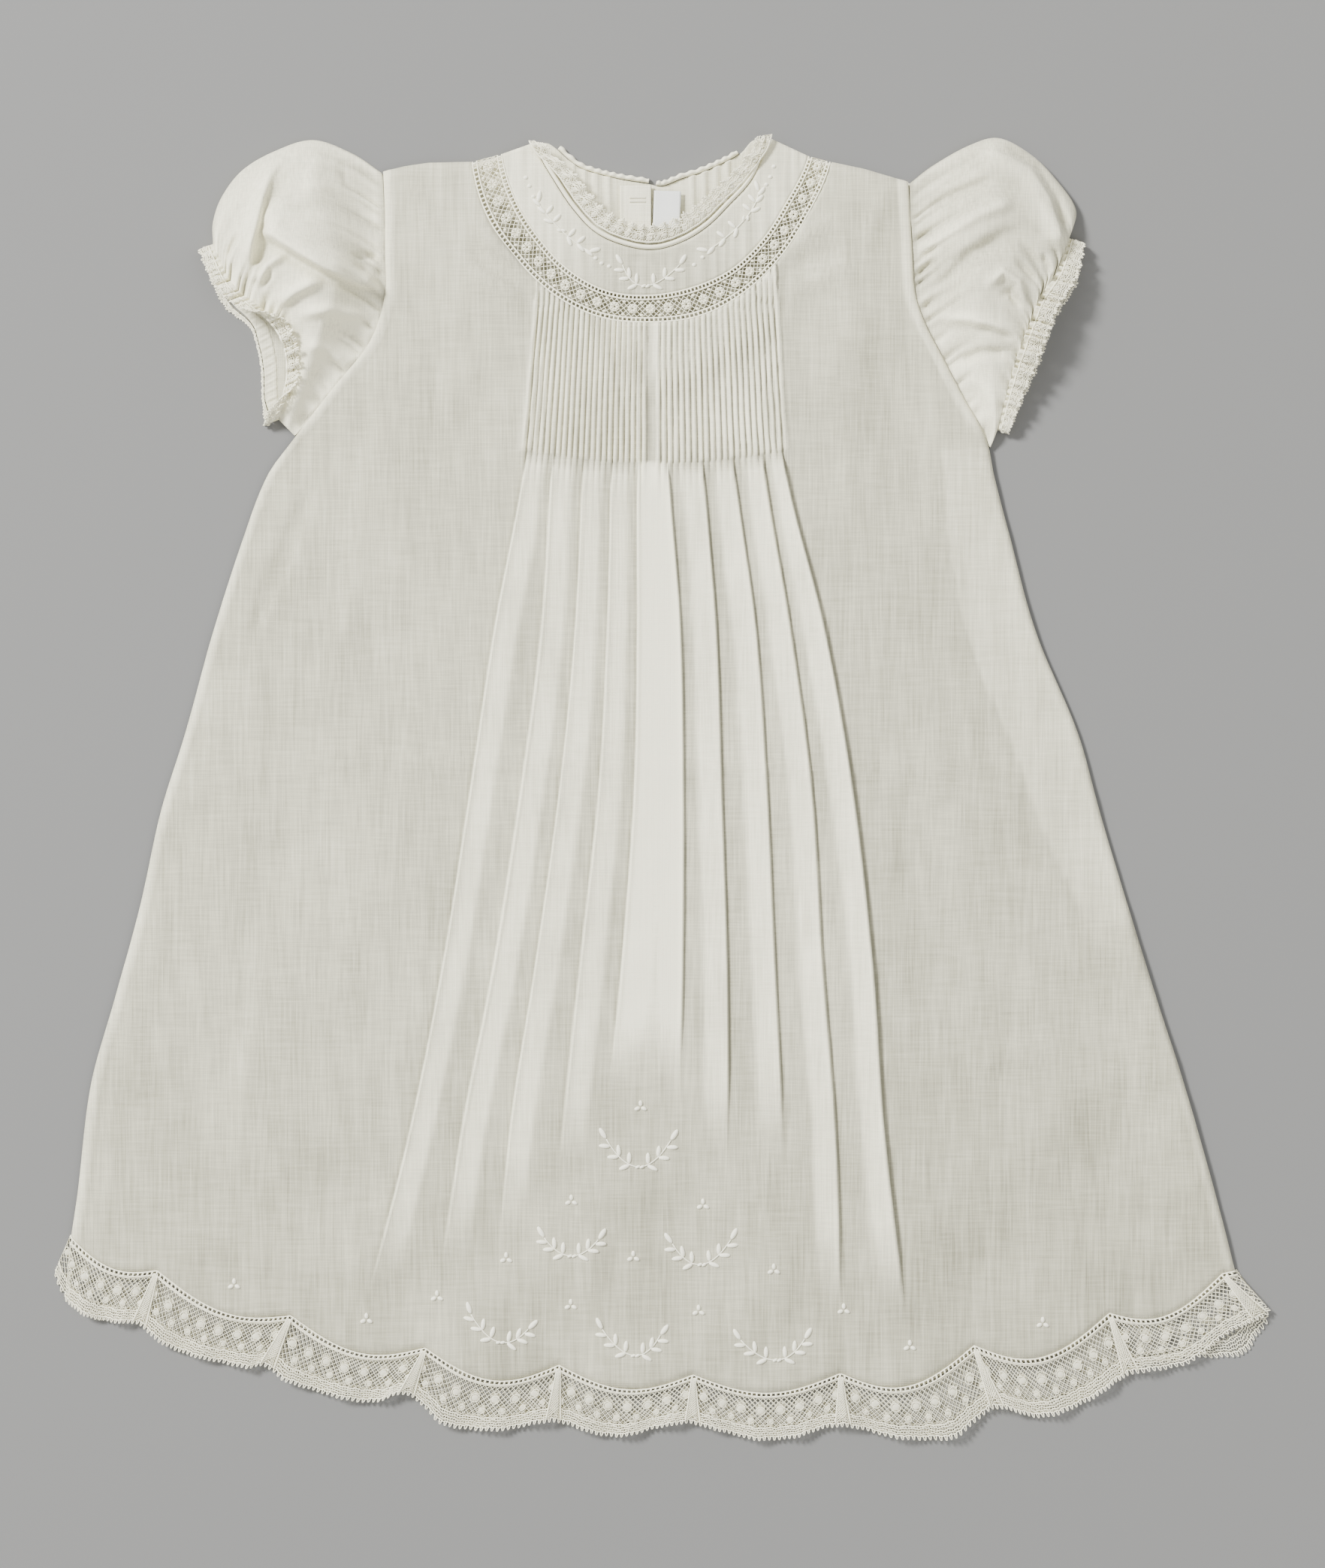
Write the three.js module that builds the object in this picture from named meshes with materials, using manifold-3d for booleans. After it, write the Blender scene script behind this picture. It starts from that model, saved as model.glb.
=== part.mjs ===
// A baby's christening gown with puff sleeves, laid flat with its front up. Millimetres, +Z up, +Y towards the neck.
// The origin is on the surface that the gown lies on, under the middle of the front.
import * as THREE from "three";
import { mergeVertices } from "three/addons/utils/BufferGeometryUtils.js";
import Module from "manifold-3d";

const wasm = await Module();
wasm.setup();

// Walls and gaps
const CLOTH = 1; // wall of each cloth or lace piece
const SEAM = 0.3; // gap between two pieces that are sewn together
const ON_BACK = CLOTH + SEAM; // underside of what lies on the back panel
const FRONT_TOP = ON_BACK + CLOTH;
const SLACK = 0.05; // added to a seam gap where two outlines are sampled differently

// The body's outline, a row for each level: the front's armhole or side edges, and how far the back shows past the left one
const BODY = [
  { y: 207, left: -93.5, right: 81, peek: 0 },
  { y: 195, left: -92.9, right: 81.8, peek: 0 },
  { y: 180, left: -92.8, right: 82.6, peek: 0 },
  { y: 166, left: -92.8, right: 83.6, peek: 0 },
  { y: 155, left: -95.8, right: 87.4, peek: 0 },
  { y: 147, left: -100, right: 91.6, peek: 0 },
  { y: 134, left: -110.8, right: 98.4, peek: 0 },
  { y: 118, left: -123.2, right: 107.2, peek: 0 },
  { y: 106, left: -131.9, right: 109.8, peek: 4.6 },
  { y: 86, left: -139.7, right: 115, peek: 4.4 },
  { y: 54, left: -150, right: 123.7, peek: 3.3 },
  { y: 20, left: -159.4, right: 137.8, peek: 1.8 },
  { y: -6, left: -167.5, right: 145, peek: 0.8 },
  { y: -38, left: -174.5, right: 154.6, peek: 0.4 },
  { y: -69, left: -183, right: 164.2, peek: 0.3 },
  { y: -97, left: -190.8, right: 173.2, peek: 0.3 },
  { y: -135, left: -195.5, right: 184, peek: 0.3 },
  { y: -160, left: -199.5, right: 190.4, peek: 0.3 },
];
const UNDERARM = { left: 119, right: 115 }; // levels where the armholes meet the side seams

// The shoulder edges outside the round band, from the armhole inwards
const LEFT_SHOULDER = [
  { x: -96, y: 206.2 },
  { x: -86.5, y: 208.5 },
  { x: -78.5, y: 209.7 },
  { x: -63.75, y: 210.2 },
];
const RIGHT_SHOULDER = [
  { x: 55.25, y: 210 },
  { x: 66.5, y: 207.8 },
  { x: 72.5, y: 206 },
  { x: 84, y: 202.6 },
];
// The back's top edge over the yoke and along the back neckline
const BACK_NECK = [
  { x: -54, y: 212.5 },
  { x: -43, y: 216.3 },
  { x: -39, y: 216.6 },
  { x: -36.5, y: 215.2 },
  { x: -31.5, y: 210.7 },
  { x: -27, y: 207.8 },
  { x: -16, y: 204.8 },
  { x: -5, y: 203 },
  { x: -0.75, y: 202.2 },
  { x: 6, y: 204.7 },
  { x: 12, y: 206.5 },
  { x: 21.5, y: 210.7 },
  { x: 26, y: 213.6 },
  { x: 29.5, y: 217.4 },
  { x: 35, y: 218 },
  { x: 48.25, y: 212 },
];
const BACK_TOP = [...LEFT_SHOULDER, ...BACK_NECK, ...RIGHT_SHOULDER];

// The round yoke: radii of its three curves about the neck's centre, from the left shoulder down and round to the right one
const NECK = { x: -4.25, y: 210 };
const YOKE = [
  { share: 0, neck: 39.3, inner: 49.8, outer: 59.5 },
  { share: 0.1, neck: 33, inner: 47, outer: 57.4 },
  { share: 0.2, neck: 30.4, inner: 45.2, outer: 55 },
  { share: 0.3, neck: 29.9, inner: 45.3, outer: 54.6 },
  { share: 0.4, neck: 29.2, inner: 45.4, outer: 54.2 },
  { share: 0.5, neck: 29.2, inner: 44.4, outer: 53.2 },
  { share: 0.6, neck: 28.5, inner: 44, outer: 53.6 },
  { share: 0.7, neck: 28.5, inner: 44.7, outer: 53.2 },
  { share: 0.8, neck: 29.8, inner: 45.3, outer: 53.3 },
  { share: 0.9, neck: 34.5, inner: 47.1, outer: 54.9 },
  { share: 1, neck: 39.2, inner: 52.5, outer: 59.5 },
];
const SPAN = {
  neck: { from: -9.5, to: 192.5 }, // degrees from straight left, turning down
  inner: { from: -3, to: 182 },
  outer: { from: 0, to: 180 },
};

// Pressed pleats below the tucks: the x of each fold edge at PLEAT_LEVELS, where it fades out, and how high its edge stands
const PLEAT_LEVELS = [160, 110, 55, 1.5, -57, -111, -170];
const PLEATS = [
  { side: -1, x: [-42, -46.2, -56.3, -64.4, -73.6, -84.3, -99], end: -168, rise: 0.5 },
  { side: -1, x: [-33.9, -37.3, -40.7, -47.5, -56.6, -67, -75.5], end: -162, rise: 0.9 },
  { side: -1, x: [-24.4, -26.9, -29.5, -34.7, -42.8, -51.1, -56], end: -150, rise: 0.9 },
  { side: -1, x: [-15.8, -17.5, -18.8, -21.6, -27.9, -33.4, -37], end: -128, rise: 0.9 },
  { side: -1, x: [-7.9, -8.9, -8.9, -9.9, -14.1, -19.3, -23], end: -101, rise: 0.9 },
  { side: 1, x: [1.7, 1.6, 5.5, 6.5, 6.3, 5, 3.5], end: -99, rise: 0.9 },
  { side: 1, x: [12.2, 13.1, 17.3, 19.1, 20.9, 21.2, 20], end: -124, rise: 0.9 },
  { side: 1, x: [21.5, 23.3, 30.5, 34.2, 36.8, 39.4, 41], end: -123, rise: 0.9 },
  { side: 1, x: [30.6, 33.2, 42, 49.1, 52.7, 56.9, 59], end: -174, rise: 1 },
  { side: 1, x: [36.8, 40, 53.3, 62.7, 69.4, 73.1, 80], end: -176, rise: 1.4 },
];
const FOLD_STEP = 0.7; // plan width of a fold edge's drop
const FADE = 30; // length over which a pleat dies away

// Pintucks between the round band and the pleats
const TUCKS = {
  each: 22, // on each side of the plain strip
  top: { level: 160, left: -42, strip: -5.6, stripEnd: -2.9, right: 36.8 },
  foot: { level: 110, left: -46.2, strip: -5.8, stripEnd: -2.9, right: 40 },
  width: 1.2,
  height: 0.8,
  lean: 0.25, // how far a tuck's crest leans to its own side
  end: 110.4, // level of the tucks' feet at the middle
  endLift: 4.2, // how much higher the outermost feet are
};

// The hem: the points between its scallops, and how far each scallop hangs below the line between its ends
const HEM = [
  { x: -203, y: -141, sag: 7.2 },
  { x: -168.75, y: -158.5, sag: 6.5 },
  { x: -124.25, y: -173.5, sag: 7 },
  { x: -79.5, y: -184.25, sag: 8 },
  { x: -35, y: -190, sag: 6.5 },
  { x: 9.75, y: -193.25, sag: 6.3 },
  { x: 58.75, y: -192.75, sag: 9 },
  { x: 103.25, y: -183.5, sag: 9.3 },
  { x: 148.25, y: -172.75, sag: 7.5 },
  { x: 186, y: -159.5, sag: 0.5 },
  { x: 215, y: -152, sag: 0 },
];
const HEM_LACE = { wave: 1.1, pitch: 14.8 };
// The hem lace's free edge: where each place of the hem is carried out to, with a step at the small pleat of each peak
const HEM_EDGE = [
  { x: -199.2, out: -201, edge: -168 },
  { x: -189.1, out: -192.4, edge: -174 },
  { x: -177.1, out: -182.3, edge: -176.2 },
  { x: -168.8, out: -175.2, edge: -176.9 },
  { x: -161.2, out: -168, edge: -182.6 },
  { x: -153.6, out: -160.8, edge: -186.2 },
  { x: -131, out: -139.3, edge: -191.2 },
  { x: -124.2, out: -132.9, edge: -190.8 },
  { x: -118, out: -126.4, edge: -195.5 },
  { x: -97.2, out: -104.9, edge: -202 },
  { x: -89, out: -96.3, edge: -202.7 },
  { x: -80.7, out: -87.7, edge: -199.8 },
  { x: -75.4, out: -82, edge: -202.5 },
  { x: -67.6, out: -73.4, edge: -210.2 },
  { x: -49.3, out: -53.3, edge: -212 },
  { x: -35, out: -37.5, edge: -209.2 },
  { x: -15.8, out: -17.5, edge: -214.2 },
  { x: 3.6, out: 2.6, edge: -210.2 },
  { x: 9.8, out: 9, edge: -209.8 },
  { x: 29.4, out: 29, edge: -214.9 },
  { x: 41.1, out: 41, edge: -214.9 },
  { x: 58.8, out: 59, edge: -210.6 },
  { x: 74.3, out: 77, edge: -214.6 },
  { x: 90.8, out: 96.2, edge: -215 },
  { x: 95, out: 101, edge: -211.5 },
  { x: 103.2, out: 110.6, edge: -204.8 },
  { x: 117.9, out: 125, edge: -207.9 },
  { x: 133.8, out: 140.6, edge: -202.8 },
  { x: 148.2, out: 154.8, edge: -193.8 },
  { x: 164.1, out: 173, edge: -190.4 },
  { x: 172, out: 182, edge: -184.5 },
  { x: 178.9, out: 190, edge: -178.5 },
  { x: 190.2, out: 203, edge: -173 },
];
// The back's hem lies a little higher, its lace is flat, and at both corners that lace splays past the front's
const BACK_HEM_LIFT = 1.6;
const BACK_HEM_EDGE = [
  { x: -199.2, out: -204.6, edge: -156 },
  { x: -194, out: -200.5, edge: -167 },
  ...HEM_EDGE.slice(1, -4),
  { x: 164.1, out: 175, edge: -188.4 },
  { x: 172, out: 185, edge: -188.2 },
  { x: 178.9, out: 193.75, edge: -187 },
  { x: 184.5, out: 197.9, edge: -181 },
  { x: 190.2, out: 202.5, edge: -175.5 },
];

// Sleeves: the folded upper edge from armhole to cuff, and the cuff's front and back edges from top to bottom, with how
// much of its casing and lace stands out there. The left cuff's lace is turned up over the sleeve along part of its front.
const SLEEVES = {
  left: {
    over: [
      { share: 0, x: -93.9, y: 206.4 },
      { share: 0.12, x: -103.5, y: 212.7 },
      { share: 0.25, x: -116.5, y: 217.2 },
      { share: 0.4, x: -129.5, y: 213.5 },
      { share: 0.55, x: -140.2, y: 207.2 },
      { share: 0.7, x: -147, y: 198.5 },
      { share: 0.85, x: -150, y: 190 },
      { share: 1, x: -150, y: 182.5 },
    ],
    cuff: [
      { share: 0, x: -150, y: 182.5, backX: -150, backY: 182.5, reach: 1 },
      { share: 0.2, x: -144.5, y: 171, backX: -145.2, backY: 170.4, reach: 1 },
      { share: 0.33, x: -139.5, y: 165, backX: -141, backY: 163.3, reach: 1 },
      { share: 0.49, x: -130, y: 158, backX: -133, backY: 157, reach: 1 },
      { share: 0.585, x: -125.5, y: 152.5, backX: -130.7, backY: 150.9, reach: 1 },
      { share: 0.7, x: -123.3, y: 145.5, backX: -129.3, backY: 143.4, reach: 1 },
      { share: 0.84, x: -123.8, y: 135.5, backX: -129, backY: 134.4, reach: 1 },
      { share: 1, x: -128.4, y: 124.5, backX: -128.4, backY: 124.5, reach: 1 },
    ],
    out: [-0.93, -0.37],
    side: -1,
    lace: 2.6,
    turn: { angle: THREE.MathUtils.degToRad(160), lace: 6, from: 0.36, to: 0.56, back: 0.84 },
  },
  right: {
    over: [
      { share: 0, x: 82.1, y: 203.2 },
      { share: 0.12, x: 89, y: 208.5 },
      { share: 0.25, x: 101, y: 215.2 },
      { share: 0.37, x: 111, y: 217.9 },
      { share: 0.5, x: 121.2, y: 213 },
      { share: 0.65, x: 129.5, y: 205.2 },
      { share: 0.83, x: 137, y: 194 },
      { share: 1, x: 134.5, y: 184.5 },
    ],
    cuff: [
      { share: 0, x: 134.5, y: 184.5, backX: 134.5, backY: 184.5, reach: 0.8 },
      { share: 0.19, x: 130, y: 172.5, backX: 131, backY: 172, reach: 1 },
      { share: 0.35, x: 123.9, y: 163, backX: 125, backY: 162.2, reach: 1 },
      { share: 0.475, x: 120.7, y: 155, backX: 121.8, backY: 154.3, reach: 1 },
      { share: 0.64, x: 117, y: 144.5, backX: 118, backY: 143.8, reach: 1 },
      { share: 0.74, x: 114.9, y: 137.3, backX: 115.8, backY: 136.7, reach: 0.85 },
      { share: 0.845, x: 113.2, y: 130.5, backX: 113.9, backY: 130, reach: 0.7 },
      { share: 1, x: 111, y: 121, backX: 111, backY: 121, reach: 0.55 },
    ],
    out: [0.95, -0.31],
    side: 1,
    lace: 4.4,
    turn: { angle: 0, lace: 4.4, from: 0.36, to: 0.56, back: 0.84 },
  },
};
const PUFF = {
  edge: 2.7, // thickness of the tube at its folded edges
  crown: 12, // rise of the puff above that
  cuff: 7, // rise at the cuff
  seam: 0.6, // rise at the armhole seam
  gather: 0.8, // depth of the gathers at the armhole
  gathers: 9,
};
// The puffs' largest folds, each a line from a to b in the sleeve's shares (along, down), with its height and half width
const PUFF_FOLDS = {
  left: [
    { a: [0.1, 0.62], b: [0.62, 0.42], height: 2.6, reach: 5.5 },
    { a: [0.3, 0.12], b: [0.8, 0.3], height: 2.2, reach: 5 },
    { a: [0.4, 0.5], b: [0.8, 0.46], height: -3, reach: 5 },
  ],
  right: [
    { a: [0.05, 0.4], b: [0.7, 0.24], height: 2.4, reach: 6 },
    { a: [0.15, 0.68], b: [0.75, 0.38], height: -3, reach: 5 },
    { a: [0.5, 0.62], b: [0.85, 0.56], height: 2, reach: 5 },
  ],
};
const CUFF_GAP = 0.4;
const CASING = { length: 2 };
const CUFF_LACE = { wave: 0.8, waves: 12, clear: 0.5 };

// Neck finish, label and back opening
const NECK_BINDING = { width: 1.5, height: 1.7 };
const NECK_LACE = { width: 6.2, low: 2.4, high: 4.2, wave: 0.7, waves: 16 };
const BACK_BINDING = { width: 1.5, height: 1.8 };
const BACK_GATHERS = { at: [-30, -26.5, -22.5, -18.5, 9.5, 13.5, 17.5, 21.5], width: 1.8, height: 0.6 };
const PLACKET = { left: -14.8, right: -4.1, top: 201.5, foot: 187.5 };
const LABEL = { width: 9, length: 12.5, x: 1, y: 194.2, turn: THREE.MathUtils.degToRad(-2) };
const BACK_SLIT = { x: -4, width: 0.8, foot: 92 };

// A smooth line through a table's rows: column at runs one way, column value is read. It is level past the ends.
function line(rows, at, value) {
  const sorted = [...rows].sort((p, q) => p[at] - q[at]);
  const s = sorted.map((row) => row[at]);
  const v = sorted.map((row) => row[value]);
  const last = s.length - 1;
  const slope = s.map((_, i) => {
    const a = Math.max(i - 1, 0);
    const b = Math.min(i + 1, last);
    return (v[b] - v[a]) / (s[b] - s[a]);
  });
  return (place) => {
    if (place <= s[0]) return v[0];
    if (place >= s[last]) return v[last];
    const i = s.findIndex((end) => end > place) - 1;
    const step = s[i + 1] - s[i];
    const t = (place - s[i]) / step;
    const held = t * t * (3 - 2 * t);
    const turned = t * (1 - t) * step * (slope[i] * (1 - t) - slope[i + 1] * t);
    return v[i] + (v[i + 1] - v[i]) * held + turned;
  };
}

// The level between low and high at which a rising function passes zero
function crossing(f, low, high) {
  for (let i = 0; i < 40; i++) {
    const middle = (low + high) / 2;
    if (f(middle) < 0) low = middle;
    else high = middle;
  }
  return (low + high) / 2;
}

const lerp = THREE.MathUtils.lerp;
const ease = THREE.MathUtils.smoothstep;
const point = (x, y, z) => new THREE.Vector3(x, y, z);

// A closed geometry from points and triangles, turned to face outwards
function closed(points, triangles) {
  let volume = 0;
  for (const [a, b, c] of triangles) {
    volume += points[a].dot(points[b].clone().cross(points[c]));
  }
  const faces = volume < 0 ? triangles.map(([a, b, c]) => [a, c, b]) : triangles;
  const geometry = new THREE.BufferGeometry().setFromPoints(points);
  geometry.setIndex(faces.flat());
  geometry.computeVertexNormals();
  return geometry;
}

// A closed wall over a grid: over(i, j) and under(i, j) are its two faces' points, and around joins the last column to the first.
function wall(columns, rows, over, under, around = false) {
  const across = around ? columns : columns + 1;
  const points = [];
  for (const face of [over, under]) {
    for (let i = 0; i < across; i++) {
      for (let j = 0; j <= rows; j++) points.push(face(i, j));
    }
  }
  const at = (face, i, j) => face * across * (rows + 1) + (i % across) * (rows + 1) + j;
  const triangles = [];
  const quad = (a, b, c, d) => triangles.push([a, b, c], [a, c, d]);
  for (let i = 0; i < columns; i++) {
    for (let j = 0; j < rows; j++) {
      quad(at(0, i, j), at(0, i + 1, j), at(0, i + 1, j + 1), at(0, i, j + 1));
      quad(at(1, i, j), at(1, i, j + 1), at(1, i + 1, j + 1), at(1, i + 1, j));
    }
    quad(at(0, i, 0), at(1, i, 0), at(1, i + 1, 0), at(0, i + 1, 0));
    quad(at(0, i, rows), at(0, i + 1, rows), at(1, i + 1, rows), at(1, i, rows));
  }
  for (let j = 0; j < rows && !around; j++) {
    quad(at(0, 0, j), at(0, 0, j + 1), at(1, 0, j + 1), at(1, 0, j));
    quad(at(0, columns, j), at(1, columns, j), at(1, columns, j + 1), at(0, columns, j + 1));
  }
  return closed(points, triangles);
}

function toSolid(geometry) {
  const bare = new THREE.BufferGeometry().setAttribute("position", geometry.getAttribute("position"));
  bare.setIndex(geometry.index);
  const merged = mergeVertices(bare, 1e-3);
  const vertProperties = merged.getAttribute("position").array;
  const triVerts = new Uint32Array(merged.index.array);
  return new wasm.Manifold(new wasm.Mesh({ numProp: 3, vertProperties, triVerts }));
}

function toGeometry(solid) {
  const mesh = solid.getMesh();
  const geometry = new THREE.BufferGeometry();
  geometry.setAttribute("position", new THREE.BufferAttribute(mesh.vertProperties, 3));
  geometry.setIndex(new THREE.BufferAttribute(mesh.triVerts, 1));
  geometry.computeVertexNormals();
  return geometry;
}

const leftEdge = line(BODY, "y", "left");
const rightEdge = line(BODY, "y", "right");
const peek = line(BODY, "y", "peek");
const radius = {
  neck: line(YOKE, "share", "neck"),
  inner: line(YOKE, "share", "inner"),
  outer: line(YOKE, "share", "outer"),
};

// A point of one of the yoke's curves at a share of its turn, moved out by an offset
function onYoke(curve, share, offset = 0) {
  const { from, to } = SPAN[curve];
  const angle = THREE.MathUtils.degToRad(lerp(from, to, share));
  const r = radius[curve](share) + offset;
  return { x: NECK.x - r * Math.cos(angle), y: NECK.y - r * Math.sin(angle) };
}

// The front's top edge: the shoulders outside the round band, and a seam's gap below the band
function frontTop(x) {
  const [start, end] = [onYoke("outer", 0).x, onYoke("outer", 1).x];
  if (x <= start) return line(LEFT_SHOULDER, "x", "y")(x);
  if (x >= end) return line(RIGHT_SHOULDER, "x", "y")(x);
  const offset = SEAM / 2 + SLACK * 2;
  const share = crossing((s) => onYoke("outer", s, offset).x - x, 0, 1);
  return onYoke("outer", share, offset).y;
}
const backTop = line(BACK_TOP, "x", "y");

// The hem's line at x: straight between the scallops' ends, plus a share of each scallop's sag
function hem(x, share = 1) {
  const i = Math.min(Math.max(HEM.findIndex((row) => row.x > x), 1), HEM.length - 1);
  const t = (x - HEM[i - 1].x) / (HEM[i].x - HEM[i - 1].x);
  return lerp(HEM[i - 1].y, HEM[i].y, t) - share * HEM[i - 1].sag * Math.sin(Math.PI * t);
}

// Pleats
const pleatLines = PLEATS.map((pleat) => {
  const rows = PLEAT_LEVELS.map((y, i) => ({ y, x: pleat.x[i] }));
  return { ...pleat, at: line(rows, "y", "x") };
});

function tuckFoot(x) {
  const half = (TUCKS.foot.right - TUCKS.foot.left) / 2;
  const off = (x - (TUCKS.foot.right + TUCKS.foot.left) / 2) / half;
  return TUCKS.end + TUCKS.endLift * Math.min(off * off, 1);
}

function pleatRise(pleat, y) {
  const start = tuckFoot(pleat.at(y));
  return pleat.rise * (1 - ease(y, start - 12, start)) * ease(y, pleat.end, pleat.end + FADE);
}

// The front's section at a level: the corners of its pleats, as {x, rise} from the left edge to the right one
function section(y) {
  const corners = pleatLines.flatMap((pleat) => {
    const high = { x: pleat.at(y), rise: pleatRise(pleat, y) };
    const low = { x: high.x + pleat.side * FOLD_STEP, rise: 0 };
    return pleat.side < 0 ? [low, high] : [high, low];
  });
  return [{ x: leftEdge(y), rise: 0 }, ...corners, { x: rightEdge(y), rise: 0 }];
}

// Columns of the front, each a share of the way between two corners of the section
const SHOULDER_COLUMNS = 5;
const NECK_SEGMENTS = 24;
const bandEdge = Array.from({ length: NECK_SEGMENTS + 1 }, (_, k) => onYoke("outer", k / NECK_SEGMENTS).x);

// Shares of the columns beside the pleats: even along the shoulder, then at even turns of the round band
function sideShares(start, end, bandEnd) {
  const edge = bandEnd < NECK.x ? start : end;
  const along = Array.from({ length: SHOULDER_COLUMNS }, (_, k) => lerp(edge, bandEnd, k / SHOULDER_COLUMNS));
  const places = [...along, ...bandEdge].filter((x) => x >= start && x < end - 1);
  return places.sort((a, b) => a - b).map((x) => (x - start) / (end - start));
}

const shoulderSection = section(200);
const corners = shoulderSection.length;
const frontColumns = [];
for (let corner = 0; corner < corners - 1; corner++) {
  const [start, end] = [shoulderSection[corner].x, shoulderSection[corner + 1].x];
  const wide = end - start > 2 * FOLD_STEP;
  let shares = wide ? [0, 0.5] : [0];
  if (corner === 0) shares = sideShares(start, end, bandEdge[0]);
  if (corner === corners - 2) shares = [0, ...sideShares(start, end, bandEdge.at(-1))];
  for (const share of shares) frontColumns.push({ corner, share });
}
frontColumns.push({ corner: corners - 2, share: 1 });

function onFront(column, y) {
  const [a, b] = section(y).slice(column.corner, column.corner + 2);
  return { x: lerp(a.x, b.x, column.share), rise: lerp(a.rise, b.rise, column.share) };
}

// Rows of the body: shares of the way down to the tucks' feet, closer at the armholes' curve, then even steps to the hem
const UPPER_ROWS = [0, 0.2, 0.4, 0.49, 0.57, 0.65, 0.73, 0.81, 0.9];
const SKIRT_ROWS = 10;
const BODY_ROWS = UPPER_ROWS.length + SKIRT_ROWS;

// The levels of a column's points: down to the tucks' feet, and then down to the hem
function levels(xAt, top, bottom) {
  const start = crossing((y) => y - top(xAt(y)), 0, 230);
  const foot = tuckFoot(xAt(TUCKS.end));
  const end = crossing((y) => y - bottom(xAt(y)), -230, 0);
  const upper = UPPER_ROWS.map((share) => lerp(start, foot, share));
  const lower = Array.from({ length: SKIRT_ROWS + 1 }, (_, j) => lerp(foot, end, j / SKIRT_ROWS));
  return [...upper, ...lower];
}

function buildFront() {
  const grid = frontColumns.map((column) =>
    levels((y) => onFront(column, y).x, frontTop, hem).map((y) => ({ y, ...onFront(column, y) })),
  );
  const over = (i, j) => point(grid[i][j].x, grid[i][j].y, FRONT_TOP + grid[i][j].rise);
  const under = (i, j) => point(grid[i][j].x, grid[i][j].y, ON_BACK);
  let solid = toSolid(wall(grid.length - 1, BODY_ROWS, over, under));
  for (const side of [-1, 1]) {
    for (let k = 0; k < TUCKS.each; k++) solid = solid.add(toSolid(tuck(side, k)));
  }
  return { geometry: toGeometry(solid), hemLine: grid.map((column) => column.at(-1)) };
}

// One pintuck, a low ridge whose crest leans outwards
function tuck(side, k) {
  const share = k / (TUCKS.each - 1);
  const ends = [TUCKS.top, TUCKS.foot].map((end) =>
    side < 0 ? lerp(end.strip, end.left, share) : lerp(end.stripEnd, end.right, share),
  );
  const foot = tuckFoot(ends[1]);
  const place = (i, j, z) => {
    const off = (i - 1) * (TUCKS.width / 2) + (i === 1 ? side * TUCKS.lean : 0);
    const slope = (ends[1] - ends[0]) / (TUCKS.foot.level - TUCKS.top.level);
    const at = (y) => ends[0] + slope * (y - TUCKS.top.level) + off;
    const y = j === 0 ? crossing((level) => level + 0.1 - frontTop(at(level)), foot, 200) : foot;
    return point(at(y), y, z);
  };
  const over = (i, j) => place(i, j, FRONT_TOP + (i === 1 ? TUCKS.height : -0.1));
  const under = (i, j) => place(i, j, FRONT_TOP - CLOTH / 2);
  return wall(2, 1, over, under);
}

const BACK_TOP_STEPS = 44;
const SCALLOP_STEPS = 5;

// The back's left or right edge at a level, in line with the front's there or past it
function backEdge(side, y) {
  return side < 0 ? leftEdge(y) - peek(y) : rightEdge(y) - (y < UNDERARM.right ? SEAM : 0);
}

function buildBack() {
  const hemAt = (x) => hem(x) + BACK_HEM_LIFT;
  const [left, right] = [-1, 1].map((side) => {
    const x = (y) => backEdge(side, y);
    return levels(x, backTop, hemAt).map((y) => ({ x: x(y), y }));
  });
  const peaks = [left.at(-1).x, ...HEM.slice(1, -1).map((row) => row.x), right.at(-1).x];
  const hemLine = peaks.slice(1).flatMap((end, i) =>
    Array.from({ length: SCALLOP_STEPS }, (_, k) => {
      const x = lerp(peaks[i], end, k / SCALLOP_STEPS);
      return { x, y: hemAt(x) };
    }),
  );
  hemLine.push(right.at(-1));
  const top = Array.from({ length: BACK_TOP_STEPS - 1 }, (_, k) => {
    const x = lerp(right[0].x, left[0].x, (k + 1) / BACK_TOP_STEPS);
    return { x, y: backTop(x) };
  });
  const outline = [...left.slice(0, -1), ...hemLine, ...right.slice(0, -1).reverse(), ...top];
  const shape = new THREE.Shape(outline.map((p) => new THREE.Vector2(p.x, p.y)));
  let solid = toSolid(new THREE.ExtrudeGeometry(shape, { depth: CLOTH, bevelEnabled: false }));
  for (const x of BACK_GATHERS.at) solid = solid.add(toSolid(backGather(x)));
  const slitTop = backTop(BACK_SLIT.x) + 1;
  const slit = new THREE.BoxGeometry(BACK_SLIT.width, slitTop - BACK_SLIT.foot, 3 * CLOTH);
  slit.translate(BACK_SLIT.x, (slitTop + BACK_SLIT.foot) / 2, 0);
  return { geometry: toGeometry(solid.subtract(toSolid(slit))), hemLine };
}

// One gather of the back neck, from its edge down to the front neckline
function backGather(x) {
  const { width, height } = BACK_GATHERS;
  const lower = NECK.y - Math.sqrt(Math.max(28 ** 2 - (x - NECK.x) ** 2, 0)) + 2.5;
  const place = (i, j, z) => {
    const at = x + ((i - 1) * width) / 2;
    return point(at, j === 0 ? backTop(at) - 0.3 : Math.min(lower, backTop(at) - 3), z);
  };
  const over = (i, j) => place(i, j, CLOTH + (i === 1 ? height : -0.1));
  return wall(2, 1, over, (i, j) => place(i, j, CLOTH / 2));
}

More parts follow.
